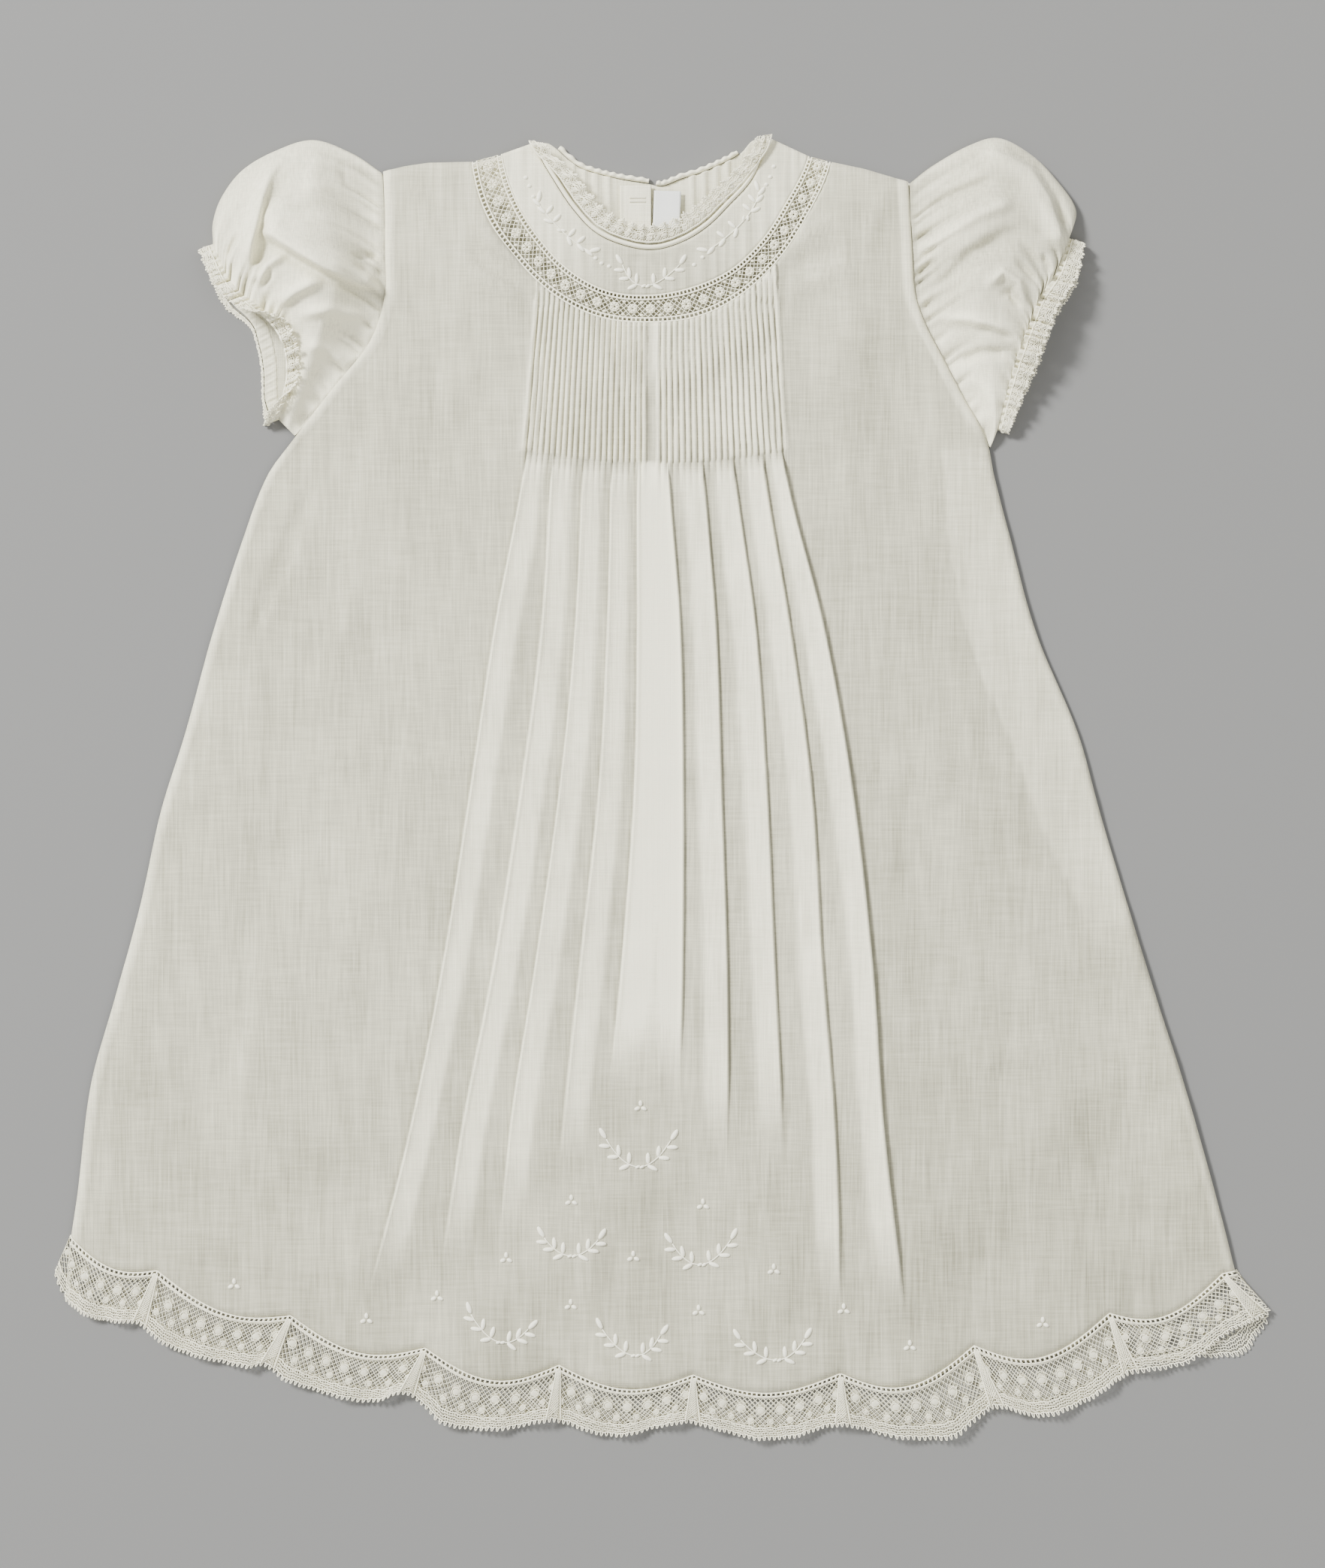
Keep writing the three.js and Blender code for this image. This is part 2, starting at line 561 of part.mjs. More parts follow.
// The lace below a hem: its heading follows the panel's lowest points, and its edge fans out and waves
function hemLace(hemLine, under, edge, wave = 0) {
  const outX = line(edge, "x", "out");
  const outY = line(edge, "x", "edge");
  const heading = hemLine.flatMap((p, i) => {
    const next = hemLine[i + 1];
    return next && wave > 0 ? [p, { x: lerp(p.x, next.x, 0.5), y: lerp(p.y, next.y, 0.5) }] : [p];
  });
  const rows = wave > 0 ? 2 : 1;
  const place = (i, j, z) => {
    const { x, y } = heading[i];
    const down = j / rows;
    const ripple = wave * Math.sin((2 * Math.PI * x) / HEM_LACE.pitch) * down;
    return point(lerp(x, outX(x), down), lerp(y - SEAM * 1.6, outY(x), down), z + ripple + wave * down);
  };
  const columns = heading.length - 1;
  return wall(columns, rows, (i, j) => place(i, j, under + CLOTH), (i, j) => place(i, j, under));
}

// A ring piece of the yoke between two of its curves
function yokePiece(from, to, segments, bottom, top) {
  const place = (i, j, z) => {
    const edge = j === 0 ? from : to;
    const { x, y } = onYoke(edge.curve, i / segments, edge.offset);
    return point(x, y, z);
  };
  return wall(segments, 1, (i, j) => place(i, j, top), (i, j) => place(i, j, bottom));
}

function buildYoke() {
  const from = { curve: "neck", offset: SEAM / 2 };
  return yokePiece(from, { curve: "inner", offset: -SEAM / 2 }, NECK_SEGMENTS, ON_BACK, FRONT_TOP);
}

function buildInsertion() {
  const from = { curve: "inner", offset: SEAM / 2 };
  return yokePiece(from, { curve: "outer", offset: -SEAM / 2 }, NECK_SEGMENTS, ON_BACK, FRONT_TOP);
}

function buildNeckBinding() {
  const from = { curve: "neck", offset: -SEAM / 2 - NECK_BINDING.width };
  const to = { curve: "neck", offset: -SEAM / 2 };
  return yokePiece(from, to, NECK_SEGMENTS, ON_BACK, ON_BACK + NECK_BINDING.height);
}

function buildNeckLace() {
  const { width, low, high, wave, waves } = NECK_LACE;
  const columns = waves * 4;
  const sewn = -SEAM * 1.5 - NECK_BINDING.width;
  const place = (i, j, lift) => {
    const share = i / columns;
    const ripple = wave * Math.sin(2 * Math.PI * waves * share) * (j / 2);
    const { x, y } = onYoke("neck", share, sewn - (width * j) / 2);
    return point(x, y, lerp(low, high, j / 2) + wave * (j / 2) + ripple + lift);
  };
  return wall(columns, 2, (i, j) => place(i, j, CLOTH), (i, j) => place(i, j, 0));
}

function buildBackBinding(fromX, toX) {
  const segments = 14;
  const place = (i, j, z) => {
    const x = lerp(fromX, toX, i / segments);
    const slope = (backTop(x + 0.5) - backTop(x - 0.5)) / 1;
    const spread = 1 / Math.hypot(slope, 1);
    const off = SEAM + j * BACK_BINDING.width;
    return point(x - off * spread * slope, backTop(x) + off * spread, z);
  };
  return wall(segments, 1, (i, j) => place(i, j, BACK_BINDING.height), (i, j) => place(i, j, 0));
}

function buildPlacket() {
  const { left, right, top, foot } = PLACKET;
  const shape = new THREE.BoxGeometry(right - left, top - foot, CLOTH);
  return shape.translate((left + right) / 2, (top + foot) / 2, ON_BACK + CLOTH / 2);
}

function buildLabel() {
  const shape = new THREE.BoxGeometry(LABEL.width, LABEL.length, CLOTH).rotateZ(LABEL.turn);
  return shape.translate(LABEL.x, LABEL.y, ON_BACK + CLOTH / 2);
}

// Sleeves
const SLEEVE_ROWS = 12;
const SLEEVE_DOWN = 14;

function makeSleeve(name) {
  const { over, cuff, out, side, turn, lace } = SLEEVES[name];
  const overX = line(over, "share", "x");
  const overY = line(over, "share", "y");
  const cuffX = line(cuff, "share", "x");
  const cuffY = line(cuff, "share", "y");
  const backX = line(cuff, "share", "backX");
  const backY = line(cuff, "share", "backY");
  const reach = line(cuff, "share", "reach");
  const armholeEdge = side < 0 ? leftEdge : rightEdge;
  const shoulder = over[0];
  const underarm = UNDERARM[name];
  const gap = SEAM + SLACK;

  // A point of the armhole seam, a share of the way down it
  const armhole = (down) => {
    const y = lerp(shoulder.y, underarm, down);
    return [armholeEdge(y) + side * gap * lerp(1, 1.4, down), y];
  };
  // Plan of the front or back layer, a Coons patch of armhole, cuff and folded edges: along from the armhole, down from the top
  const plan = (along, down, back) => {
    const a = armhole(down);
    const c = back ? [backX(down), backY(down)] : [cuffX(down), cuffY(down)];
    const o = [overX(along), overY(along)];
    const low = armhole(1);
    const u = [lerp(low[0], cuffX(1), along), lerp(low[1], cuffY(1), along)];
    const corners = [armhole(0), [cuffX(0), cuffY(0)], low, [cuffX(1), cuffY(1)]];
    return [0, 1].map((k) => {
      const edges = lerp(a[k], c[k], along) + lerp(o[k], u[k], down);
      const top = lerp(corners[0][k], corners[1][k], along);
      const bottom = lerp(corners[2][k], corners[3][k], along);
      return edges - lerp(top, bottom, down);
    });
  };
  // Height of the front layer's outer face
  const height = (along, down) => {
    const round = Math.sin(Math.PI * Math.min(Math.max(down, 0), 1)) ** 0.7;
    const swell = along < 0.4 ? lerp(PUFF.seam, PUFF.crown, ease(along, -0.12, 0.4))
      : lerp(PUFF.crown, PUFF.cuff, ease(along, 0.4, 1.05));
    const [x, y] = plan(along, down, false);
    let folds = 0;
    for (const fold of PUFF_FOLDS[name]) folds += foldHeight(fold, x, y, plan);
    const gather = PUFF.gather * Math.cos(2 * Math.PI * PUFF.gathers * down) * (1 - ease(along, 0.02, 0.3));
    const free = ease(along, 0, 0.15) * (1 - ease(along, 0.8, 1));
    return PUFF.edge + round * (swell + gather * ease(along, 0, 0.08) + folds * free);
  };
  return { plan, height, reach, out, side, turn, lace };
}

// How much a fold lifts the cloth at a place: a soft ridge along a straight line, tapering at its ends
function foldHeight(fold, x, y, plan) {
  const a = plan(...fold.a, false);
  const b = plan(...fold.b, false);
  const [dx, dy] = [b[0] - a[0], b[1] - a[1]];
  const length = Math.hypot(dx, dy);
  const along = ((x - a[0]) * dx + (y - a[1]) * dy) / (length * length);
  const off = ((x - a[0]) * dy - (y - a[1]) * dx) / length;
  const taper = ease(along, -0.2, 0.25) * (1 - ease(along, 0.75, 1.2));
  return fold.height * taper * Math.exp(-((off / fold.reach) ** 2));
}

// A place round the flattened tube: the front layer from the top edge down, then the back layer up again
function roundTube(i) {
  const front = i <= SLEEVE_DOWN;
  const step = front ? i : 2 * SLEEVE_DOWN + 1 - i;
  return { front, down: step / SLEEVE_DOWN };
}
const TUBE = 2 * SLEEVE_DOWN + 2;

function buildSleeve(sleeve) {
  const inset = 0.035;
  const place = (i, j, inside) => {
    const { front, down } = roundTube(i);
    const along = j / SLEEVE_ROWS;
    const at = inside ? lerp(inset, 1 - inset, down) : down;
    const [x, y] = sleeve.plan(along, at, !front);
    const top = sleeve.height(along, down) - (inside ? CLOTH : 0);
    return point(x, y, front ? top : inside ? CLOTH : 0);
  };
  return wall(TUBE, SLEEVE_ROWS, (i, j) => place(i, j, false), (i, j) => place(i, j, true), true);
}

// A band round the cuff, from a start beyond it. Where it is turned, its front swings up about its start and back over.
function cuffRing(sleeve, start, length, { wave = 0, turned = false } = {}) {
  const inset = 0.05;
  const { turn, out } = sleeve;
  const place = (i, j, inside) => {
    const { front, down } = roundTube(i);
    const [x, y] = sleeve.plan(1, inside ? lerp(inset, 1 - inset, down) : down, !front);
    const swing = turned && front ? ease(down, turn.from, turn.to) * (1 - ease(down, turn.back, 1)) : 0;
    const angle = turn.angle * swing;
    const under = inside ? CLOTH : 0;
    const share = sleeve.reach(down);
    const reach = j * lerp(length, turned ? turn.lace : length, swing) * share;
    const hinge = CUFF_GAP + (start - CUFF_GAP) * share;
    const beyond = hinge + reach * Math.cos(angle) + (front ? under * Math.sin(angle) : 0);
    const ripple = wave * j * (1 + Math.sin(2 * Math.PI * CUFF_LACE.waves * (i / TUBE)));
    const lift = reach * Math.sin(angle) - under * Math.cos(angle) + CUFF_LACE.clear * swing + ripple;
    return point(x + out[0] * beyond, y + out[1] * beyond, front ? sleeve.height(1, down) + lift : under);
  };
  return wall(TUBE, 1, (i, j) => place(i, j, false), (i, j) => place(i, j, true), true);
}

const gown = new THREE.Group();
const COTTON = { color: 0xe6e3d8, roughness: 0.85, metalness: 0 };
const LACE = { color: 0xefece2, roughness: 0.9, metalness: 0 };

function add(name, geometry, finish) {
  const mesh = new THREE.Mesh(geometry, new THREE.MeshStandardMaterial(finish));
  mesh.name = name;
  gown.add(mesh);
}

const front = buildFront();
const back = buildBack();
add("front_panel", front.geometry, COTTON);
add("back_panel", back.geometry, COTTON);
add("hem_lace_front", hemLace(front.hemLine, ON_BACK, HEM_EDGE, HEM_LACE.wave), LACE);
add("hem_lace_back", hemLace(back.hemLine, 0, BACK_HEM_EDGE), LACE);
add("yoke", buildYoke(), COTTON);
add("insertion_band", buildInsertion(), LACE);
add("neck_binding", buildNeckBinding(), COTTON);
add("neck_lace", buildNeckLace(), LACE);
add("back_neck_binding_left", buildBackBinding(-35.5, BACK_SLIT.x - 1.2), COTTON);
add("back_neck_binding_right", buildBackBinding(BACK_SLIT.x + 1.2, 25), COTTON);
add("back_placket", buildPlacket(), COTTON);
add("care_label", buildLabel(), { color: 0xf2f4f5, roughness: 0.7, metalness: 0 });

for (const name of ["left", "right"]) {
  const sleeve = makeSleeve(name);
  add(`${name}_sleeve`, buildSleeve(sleeve), COTTON);
  add(`${name}_cuff_casing`, cuffRing(sleeve, CUFF_GAP, CASING.length), COTTON);
  const lace = cuffRing(sleeve, CUFF_GAP + CASING.length + SEAM, sleeve.lace, { wave: CUFF_LACE.wave, turned: true });
  add(`${name}_cuff_lace`, lace, LACE);
}

export default gown;
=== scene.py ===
"""A baby's christening gown, laid flat with its front up: its cloth, lace and sewing."""

import logging
from dataclasses import dataclass, field
from enum import Enum
from typing import Callable, Sequence

import bpy
import numpy as np
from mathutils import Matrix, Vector


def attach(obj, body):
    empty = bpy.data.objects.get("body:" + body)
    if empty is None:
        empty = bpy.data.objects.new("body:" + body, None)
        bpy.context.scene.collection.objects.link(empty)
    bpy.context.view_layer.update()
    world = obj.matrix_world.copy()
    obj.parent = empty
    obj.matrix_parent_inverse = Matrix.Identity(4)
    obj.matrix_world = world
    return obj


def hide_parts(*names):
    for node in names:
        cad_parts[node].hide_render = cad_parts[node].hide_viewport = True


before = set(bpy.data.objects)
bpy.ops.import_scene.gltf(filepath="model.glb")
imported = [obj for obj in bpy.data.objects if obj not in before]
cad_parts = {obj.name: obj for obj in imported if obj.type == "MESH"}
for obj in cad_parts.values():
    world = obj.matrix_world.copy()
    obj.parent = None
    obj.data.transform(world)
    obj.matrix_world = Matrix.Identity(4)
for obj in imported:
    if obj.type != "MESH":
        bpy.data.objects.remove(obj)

LOG = logging.getLogger("gown")
Array = np.ndarray
Place = Callable[[Array, Array, Array], Array]
MM = 0.001
TAU = 2 * np.pi
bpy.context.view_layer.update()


# Numbers


def ease(x: Array, low: float, high: float) -> Array:
    """Rise smoothly from 0 at low to 1 at high: t * t * (3 - 2 * t)."""
    t = np.clip((x - low) / (high - low), 0, 1)
    return t * t * (3 - 2 * t)


def lerp(a: Array, b: Array, t: Array) -> Array:
    """Go from a to b by the share t."""
    return a + (b - a) * t


def rises_through(f: Callable[[Array], Array], low: float, high: float, size: tuple[int, ...]) -> Array:
    """Find where a rising function passes zero, by halving.

    Args:
        f: the function of an array.
        low: a place where it is below zero.
        high: a place where it is above zero.
        size: the shape of the answer.

    Returns:
        The places, one for each element.
    """
    low_end, high_end = np.full(size, float(low)), np.full(size, float(high))
    for _ in range(28):
        middle = (low_end + high_end) / 2
        below = f(middle) < 0
        low_end = np.where(below, middle, low_end)
        high_end = np.where(below, high_end, middle)
    return (low_end + high_end) / 2


class Line:
    """A smooth line through a table's rows, level past its ends.

    Between two rows it is the cubic with their values and the slopes of the rows beside them.
    """

    def __init__(self, places: Sequence[float], values: Sequence[float]) -> None:
        """Take the rows in any order."""
        order = np.argsort(places)
        self.s = np.asarray(places, float)[order]
        self.v = np.asarray(values, float)[order]
        last = len(self.s) - 1
        i = np.arange(last + 1)
        a, b = np.maximum(i - 1, 0), np.minimum(i + 1, last)
        self.m = (self.v[b] - self.v[a]) / (self.s[b] - self.s[a])

    def __call__(self, place: Array) -> Array:
        """Read the line at an array of places."""
        at = np.clip(place, self.s[0], self.s[-1])
        i = np.clip(np.searchsorted(self.s, at, side="right") - 1, 0, len(self.s) - 2)
        step = self.s[i + 1] - self.s[i]
        t = (at - self.s[i]) / step
        held = lerp(self.v[i], self.v[i + 1], t * t * (3 - 2 * t))
        return held + t * (1 - t) * step * (self.m[i] * (1 - t) - self.m[i + 1] * t)


@dataclass(frozen=True)
class Crease:
    """A soft ridge, or a trough where rise is below 0, along a line of points.

    Its reaches are to the left and right of the way that the line runs. Taper is the share of its length over
    which it dies away at each end.
    """

    points: tuple[tuple[float, float], ...]
    rise: float
    left: float = 3.0
    right: float = 3.0
    taper: float = 0.32

    def height(self, x: Array, y: Array) -> Array:
        """Rise times exp(-(d / reach)^2), d the distance to the line, times a taper at both ends."""
        best = np.full(np.shape(x), 1e9)
        signed = np.zeros(np.shape(x))
        along = np.zeros(np.shape(x))
        corners = np.asarray(self.points, float)
        runs = np.hypot(*np.diff(corners, axis=0).T)
        before = np.concatenate([[0], np.cumsum(runs)])
        for (x0, y0), (x1, y1), run, start in zip(corners, corners[1:], runs, before):
            ux, uy = (x1 - x0) / run, (y1 - y0) / run
            t = np.clip((x - x0) * ux + (y - y0) * uy, 0, run)
            dx, dy = x - x0 - t * ux, y - y0 - t * uy
            d = np.hypot(dx, dy)
            nearer = d < best
            best = np.where(nearer, d, best)
            signed = np.where(nearer, ux * dy - uy * dx, signed)
            along = np.where(nearer, (start + t) / before[-1], along)
        reach = np.where(signed > 0, self.left, self.right)
        ends = ease(along, 0, self.taper) * (1 - ease(along, 1 - self.taper, 1))
        return self.rise * np.exp(-((best / reach) ** 2)) * ends


def creased(x: Array, y: Array, creases: Sequence[Crease]) -> Array:
    """Add up the heights of several creases."""
    total = np.zeros(np.shape(x))
    for crease in creases:
        total = total + crease.height(x, y)
    return total


def crossed(down: Array, across: Array) -> list[Array]:
    """Two grids from two rows of numbers."""
    return np.meshgrid(down, across, indexing="ij")


def ripple(x: Array, y: Array, seed: int, count: int, shortest: float, longest: float) -> Array:
    """Uneven soft waves: the mean of count sines of mixed lengths and directions, from -1 to 1."""
    draw = np.random.default_rng(seed)
    total = np.zeros(np.shape(x))
    for _ in range(count):
        turn, start = draw.uniform(0, TAU, 2)
        length = draw.uniform(shortest, longest)
        total = total + np.sin(TAU * (x * np.cos(turn) + y * np.sin(turn)) / length + start)
    return total / count


def arc_along(x: Array, y: Array) -> Array:
    """The length of a line from its start to each of its points."""
    return np.concatenate([[0], np.cumsum(np.hypot(np.diff(x), np.diff(y)))])


def length_of(x: Array, y: Array) -> float:
    """The length of a line."""
    return float(np.sum(np.hypot(np.diff(x), np.diff(y))))


def pinch(count: Array) -> Array:
    """1 in the furrow between two pintucks, and falling steeply beside it; count is in tucks."""
    return (1 - np.abs(np.sin(np.pi * (count - 0.9)))) ** 2


# The gown's own sizes, in millimetres


class Side(Enum):
    """The gown's sides as seen from above; the value is the sign of x."""

    LEFT = -1
    RIGHT = 1


@dataclass(frozen=True)
class Pleat:
    """A pressed fold edge: side, x at Pattern.PLEAT_LEVELS, the level where it fades out, and rise."""

    side: Side
    x: tuple[float, ...]
    end: float
    rise: float


class Pattern:
    """The outlines, folds and levels that all the pieces share."""

    FRONT_TOP = 2.3
    BACK_HEM_LIFT = 1.6  # how much higher up the gown the back's hem lies than the front's
    UNDERARM = {Side.LEFT: 119.0, Side.RIGHT: 115.0}
    NECK = (-4.25, 210.0)
    SPAN = {"neck": (-9.5, 192.5), "inner": (-3.0, 182.0), "outer": (0.0, 180.0)}
    PLEAT_LEVELS = (160, 110, 55, 1.5, -57, -111, -170)
    PLEATS = (
        Pleat(Side.LEFT, (-42, -46.2, -56.3, -64.4, -73.6, -84.3, -99), -168, 1.0),
        Pleat(Side.LEFT, (-33.9, -37.3, -40.7, -47.5, -56.6, -67, -75.5), -162, 0.9),
        Pleat(Side.LEFT, (-24.4, -26.9, -29.5, -34.7, -42.8, -51.1, -56), -150, 0.95),
        Pleat(Side.LEFT, (-15.8, -17.5, -18.8, -21.6, -27.9, -33.4, -37), -128, 0.9),
        Pleat(Side.LEFT, (-7.9, -8.9, -8.9, -9.9, -14.1, -19.3, -23), -101, 0.9),
        Pleat(Side.RIGHT, (1.7, 1.6, 5.5, 6.5, 6.3, 5, 3.5), -99, 0.9),
        Pleat(Side.RIGHT, (12.2, 13.1, 17.3, 19.1, 20.9, 21.2, 20), -124, 0.95),
        Pleat(Side.RIGHT, (21.5, 23.3, 30.5, 34.2, 36.8, 39.4, 41), -123, 0.95),
        Pleat(Side.RIGHT, (30.6, 33.2, 42, 49.1, 52.7, 56.9, 59), -174, 1.1),
        Pleat(Side.RIGHT, (36.8, 40, 53.3, 62.7, 69.4, 73.1, 80), -176, 1.7),
    )
    PLEAT_FADE = 34.0  # length over which a pleat dies away
    PLEAT_SHOULDER = 2.6  # how far a pleat's edge is drawn in at its start, and over what length
    TUCKS = 22  # on each side of the plain strip
    # Level, then x of the outermost left tuck, of the plain strip's two edges and of the outermost right tuck
    TUCK_TOP = (160.0, -42.0, -5.6, -2.9, 36.8)
    TUCK_FOOT = (110.0, -46.2, -5.8, -2.9, 40.0)
    TUCK_HALF = 43.1  # half the width of all the tucks at their feet
    TUCK_END = 110.4  # level of the feet at the middle
    TUCK_END_LIFT = 4.2  # how much higher the outermost feet are
    # x, y and sag of the points between the hem's scallops
    HEM = (
        (-203, -141, 7.2), (-168.75, -158.5, 6.5), (-124.25, -173.5, 7), (-79.5, -184.25, 8),
        (-35, -190, 6.5), (9.75, -193.25, 6.3), (58.75, -192.75, 9), (103.25, -183.5, 9.3),
        (148.25, -172.75, 7.5), (186, -159.5, 0.5), (215, -152, 0),
    )
    # Where each place of the hem is carried out to by its lace: the hem's x, and the free edge's x and y
    HEM_EDGE = (
        (-199.2, -201, -168), (-189.1, -192.4, -174), (-177.1, -182.3, -176.2),
        (-168.8, -175.2, -176.9), (-161.2, -168, -182.6), (-153.6, -160.8, -186.2),
        (-131, -139.3, -191.2), (-124.2, -132.9, -190.8), (-118, -126.4, -195.5),
        (-97.2, -104.9, -202), (-89, -96.3, -202.7), (-80.7, -87.7, -199.8), (-75.4, -82, -202.5),
        (-67.6, -73.4, -210.2), (-49.3, -53.3, -212), (-35, -37.5, -209.2), (-15.8, -17.5, -214.2),
        (3.6, 2.6, -210.2), (9.8, 9, -209.8), (29.4, 29, -214.9), (41.1, 41, -214.9),
        (58.8, 59, -210.6), (74.3, 77, -214.6), (90.8, 96.2, -215), (95, 101, -211.5),
        (103.2, 110.6, -204.8), (117.9, 125, -207.9), (133.8, 140.6, -202.8), (148.2, 154.8, -193.8),
        (164.1, 173, -190.4), (172, 182, -184.5), (178.9, 190, -178.5), (190.2, 203, -173),
    )
    BACK_HEM_EDGE = (
        (-199.2, -204.6, -156),
        (-194, -200.5, -167),
        *HEM_EDGE[1:-4],
        (164.1, 175, -188.4),
        (172, 185, -188.2),
        (178.9, 193.75, -187),
        (184.5, 197.9, -181),
        (190.2, 202.5, -175.5),
    )
    # The body's left and right edges at its levels, and how far the back shows past the left one
    LEVELS = (207, 195, 180, 166, 155, 147, 134, 118, 106, 86, 54, 20, -6, -38, -69, -97, -135, -160)
    LEFT = (
        -93.5, -92.9, -92.8, -92.8, -95.8, -100, -110.8, -123.2, -131.9,
        -139.7, -150, -159.4, -167.5, -174.5, -183, -190.8, -195.5, -199.5,
    )
    RIGHT = (
        81, 81.8, 82.6, 83.6, 87.4, 91.6, 98.4, 107.2, 109.8,
        115, 123.7, 137.8, 145, 154.6, 164.2, 173.2, 184, 190.4,
    )
    PEEK = (0, 0, 0, 0, 0, 0, 0, 0, 4.6, 4.4, 3.3, 1.8, 0.8, 0.4, 0.3, 0.3, 0.3, 0.3)
    LEFT_SHOULDER = ((-96, 206.2), (-86.5, 208.5), (-78.5, 209.7), (-63.75, 210.2))
    RIGHT_SHOULDER = ((55.25, 210), (66.5, 207.8), (72.5, 206), (84, 202.6))
    BACK_NECK = (
        (-54, 212.5), (-43, 216.3), (-39, 216.6), (-36.5, 215.2), (-31.5, 210.7), (-27, 207.8),
        (-16, 204.8), (-5, 203), (-0.75, 202.2), (6, 204.7), (12, 206.5), (21.5, 210.7), (26, 213.6),
        (29.5, 217.4), (35, 218), (48.25, 212),
    )
    TURN = (0, 0.1, 0.2, 0.3, 0.4, 0.5, 0.6, 0.7, 0.8, 0.9, 1)
    NECK_RADII = (39.3, 33, 30.4, 29.9, 29.2, 29.2, 28.5, 28.5, 29.8, 34.5, 39.2)
    INNER_RADII = (49.8, 47, 45.2, 45.3, 45.4, 44.4, 44, 44.7, 45.3, 47.1, 52.5)
    OUTER_RADII = (59.5, 57.4, 55, 54.6, 54.2, 53.2, 53.6, 53.2, 53.3, 54.9, 59.5)

    def __init__(self) -> None:
        """Make the smooth lines from the tables."""
        self.left = Line(self.LEVELS, self.LEFT)
        self.right = Line(self.LEVELS, self.RIGHT)
        self.peek = Line(self.LEVELS, self.PEEK)
        self.radius = {
            "neck": Line(self.TURN, self.NECK_RADII),
            "inner": Line(self.TURN, self.INNER_RADII),
            "outer": Line(self.TURN, self.OUTER_RADII),
        }
        self.back_top = Line(*zip(*self.LEFT_SHOULDER, *self.BACK_NECK, *self.RIGHT_SHOULDER))
        self.folds = [Line(self.PLEAT_LEVELS, pleat.x) for pleat in self.PLEATS]
        turn = np.linspace(0, 1, 400)
        x, y = self.on_yoke("outer", turn, 0.25)
        left, right = np.array(self.LEFT_SHOULDER), np.array(self.RIGHT_SHOULDER)
        self._top_x = np.concatenate([left[:-1, 0], x, right[1:, 0]])
        self._top_y = np.concatenate([left[:-1, 1], y, right[1:, 1]])
        self._hem = np.array(self.HEM, float)

    def on_yoke(self, curve: str, turn: Array, offset: Array | float = 0.0) -> tuple[Array, Array]:
        """Points of a curve of the yoke, at shares of its turn from the left, moved out by offset."""
        start, end = np.radians(self.SPAN[curve])
        angle = lerp(start, end, turn)
        r = self.radius[curve](turn) + offset
        return self.NECK[0] - r * np.cos(angle), self.NECK[1] - r * np.sin(angle)

    def front_top(self, x: Array) -> Array:
        """The front's top edge: the shoulders, and the round band's outer edge between them."""
        return np.interp(x, self._top_x, self._top_y)

    def hem(self, x: Array, share: Array | float = 1.0) -> Array:
        """The hem: straight from point to point, less share * sag * sin(pi * t) between them."""
        i = np.clip(np.searchsorted(self._hem[:, 0], x, side="right") - 1, 0, len(self._hem) - 2)
        a, b = self._hem[i], self._hem[i + 1]
        t = (x - a[..., 0]) / (b[..., 0] - a[..., 0])
        bow = np.where((t > 0) & (t < 1), np.sin(np.pi * np.clip(t, 0, 1)), 0)
        return lerp(a[..., 1], b[..., 1], t) - share * a[..., 2] * bow

    def tuck_foot(self, x: Array) -> Array:
        """The level of the tucks' feet, lowest in the middle."""
        off = (x - (self.TUCK_FOOT[1] + self.TUCK_FOOT[4]) / 2) / self.TUCK_HALF
        return self.TUCK_END + self.TUCK_END_LIFT * np.minimum(off * off, 1)

    def tuck_count(self, x: Array, y: Array) -> tuple[Array, Array]:
        """How many tucks lie between the plain strip and a point, and 1 where the point is among tucks."""
        share = (y - self.TUCK_TOP[0]) / (self.TUCK_FOOT[0] - self.TUCK_TOP[0])
        left, strip, strip_end, right = (
            lerp(top, foot, share) for top, foot in zip(self.TUCK_TOP[1:], self.TUCK_FOOT[1:])
        )
        pitch_left = (strip - left) / (self.TUCKS - 1)
        pitch_right = (right - strip_end) / (self.TUCKS - 1)
        count = np.where(x < strip, (strip - x) / pitch_left, (x - strip_end) / pitch_right)
        inside = (count > 0) & (count < self.TUCKS) & ((x < strip) | (x > strip_end))
        return count, inside.astype(float)

    def under_pleat(self, i: int, x: Array, y: Array) -> tuple[Array, Array]:
        """How far points lie under pleat i from its fold edge, and how far it has grown there, 0 to 1."""
        pleat, edge = self.PLEATS[i], self.folds[i](y)
        start = self.tuck_foot(edge)
        drawn_in = self.PLEAT_SHOULDER * np.exp(-np.maximum(start - y, 0) / self.PLEAT_SHOULDER)
        grown = (1 - ease(y, start - 3.5, start + 0.2)) * ease(y, pleat.end, pleat.end + self.PLEAT_FADE)
        return (x - edge) * -pleat.side.value - drawn_in, grown

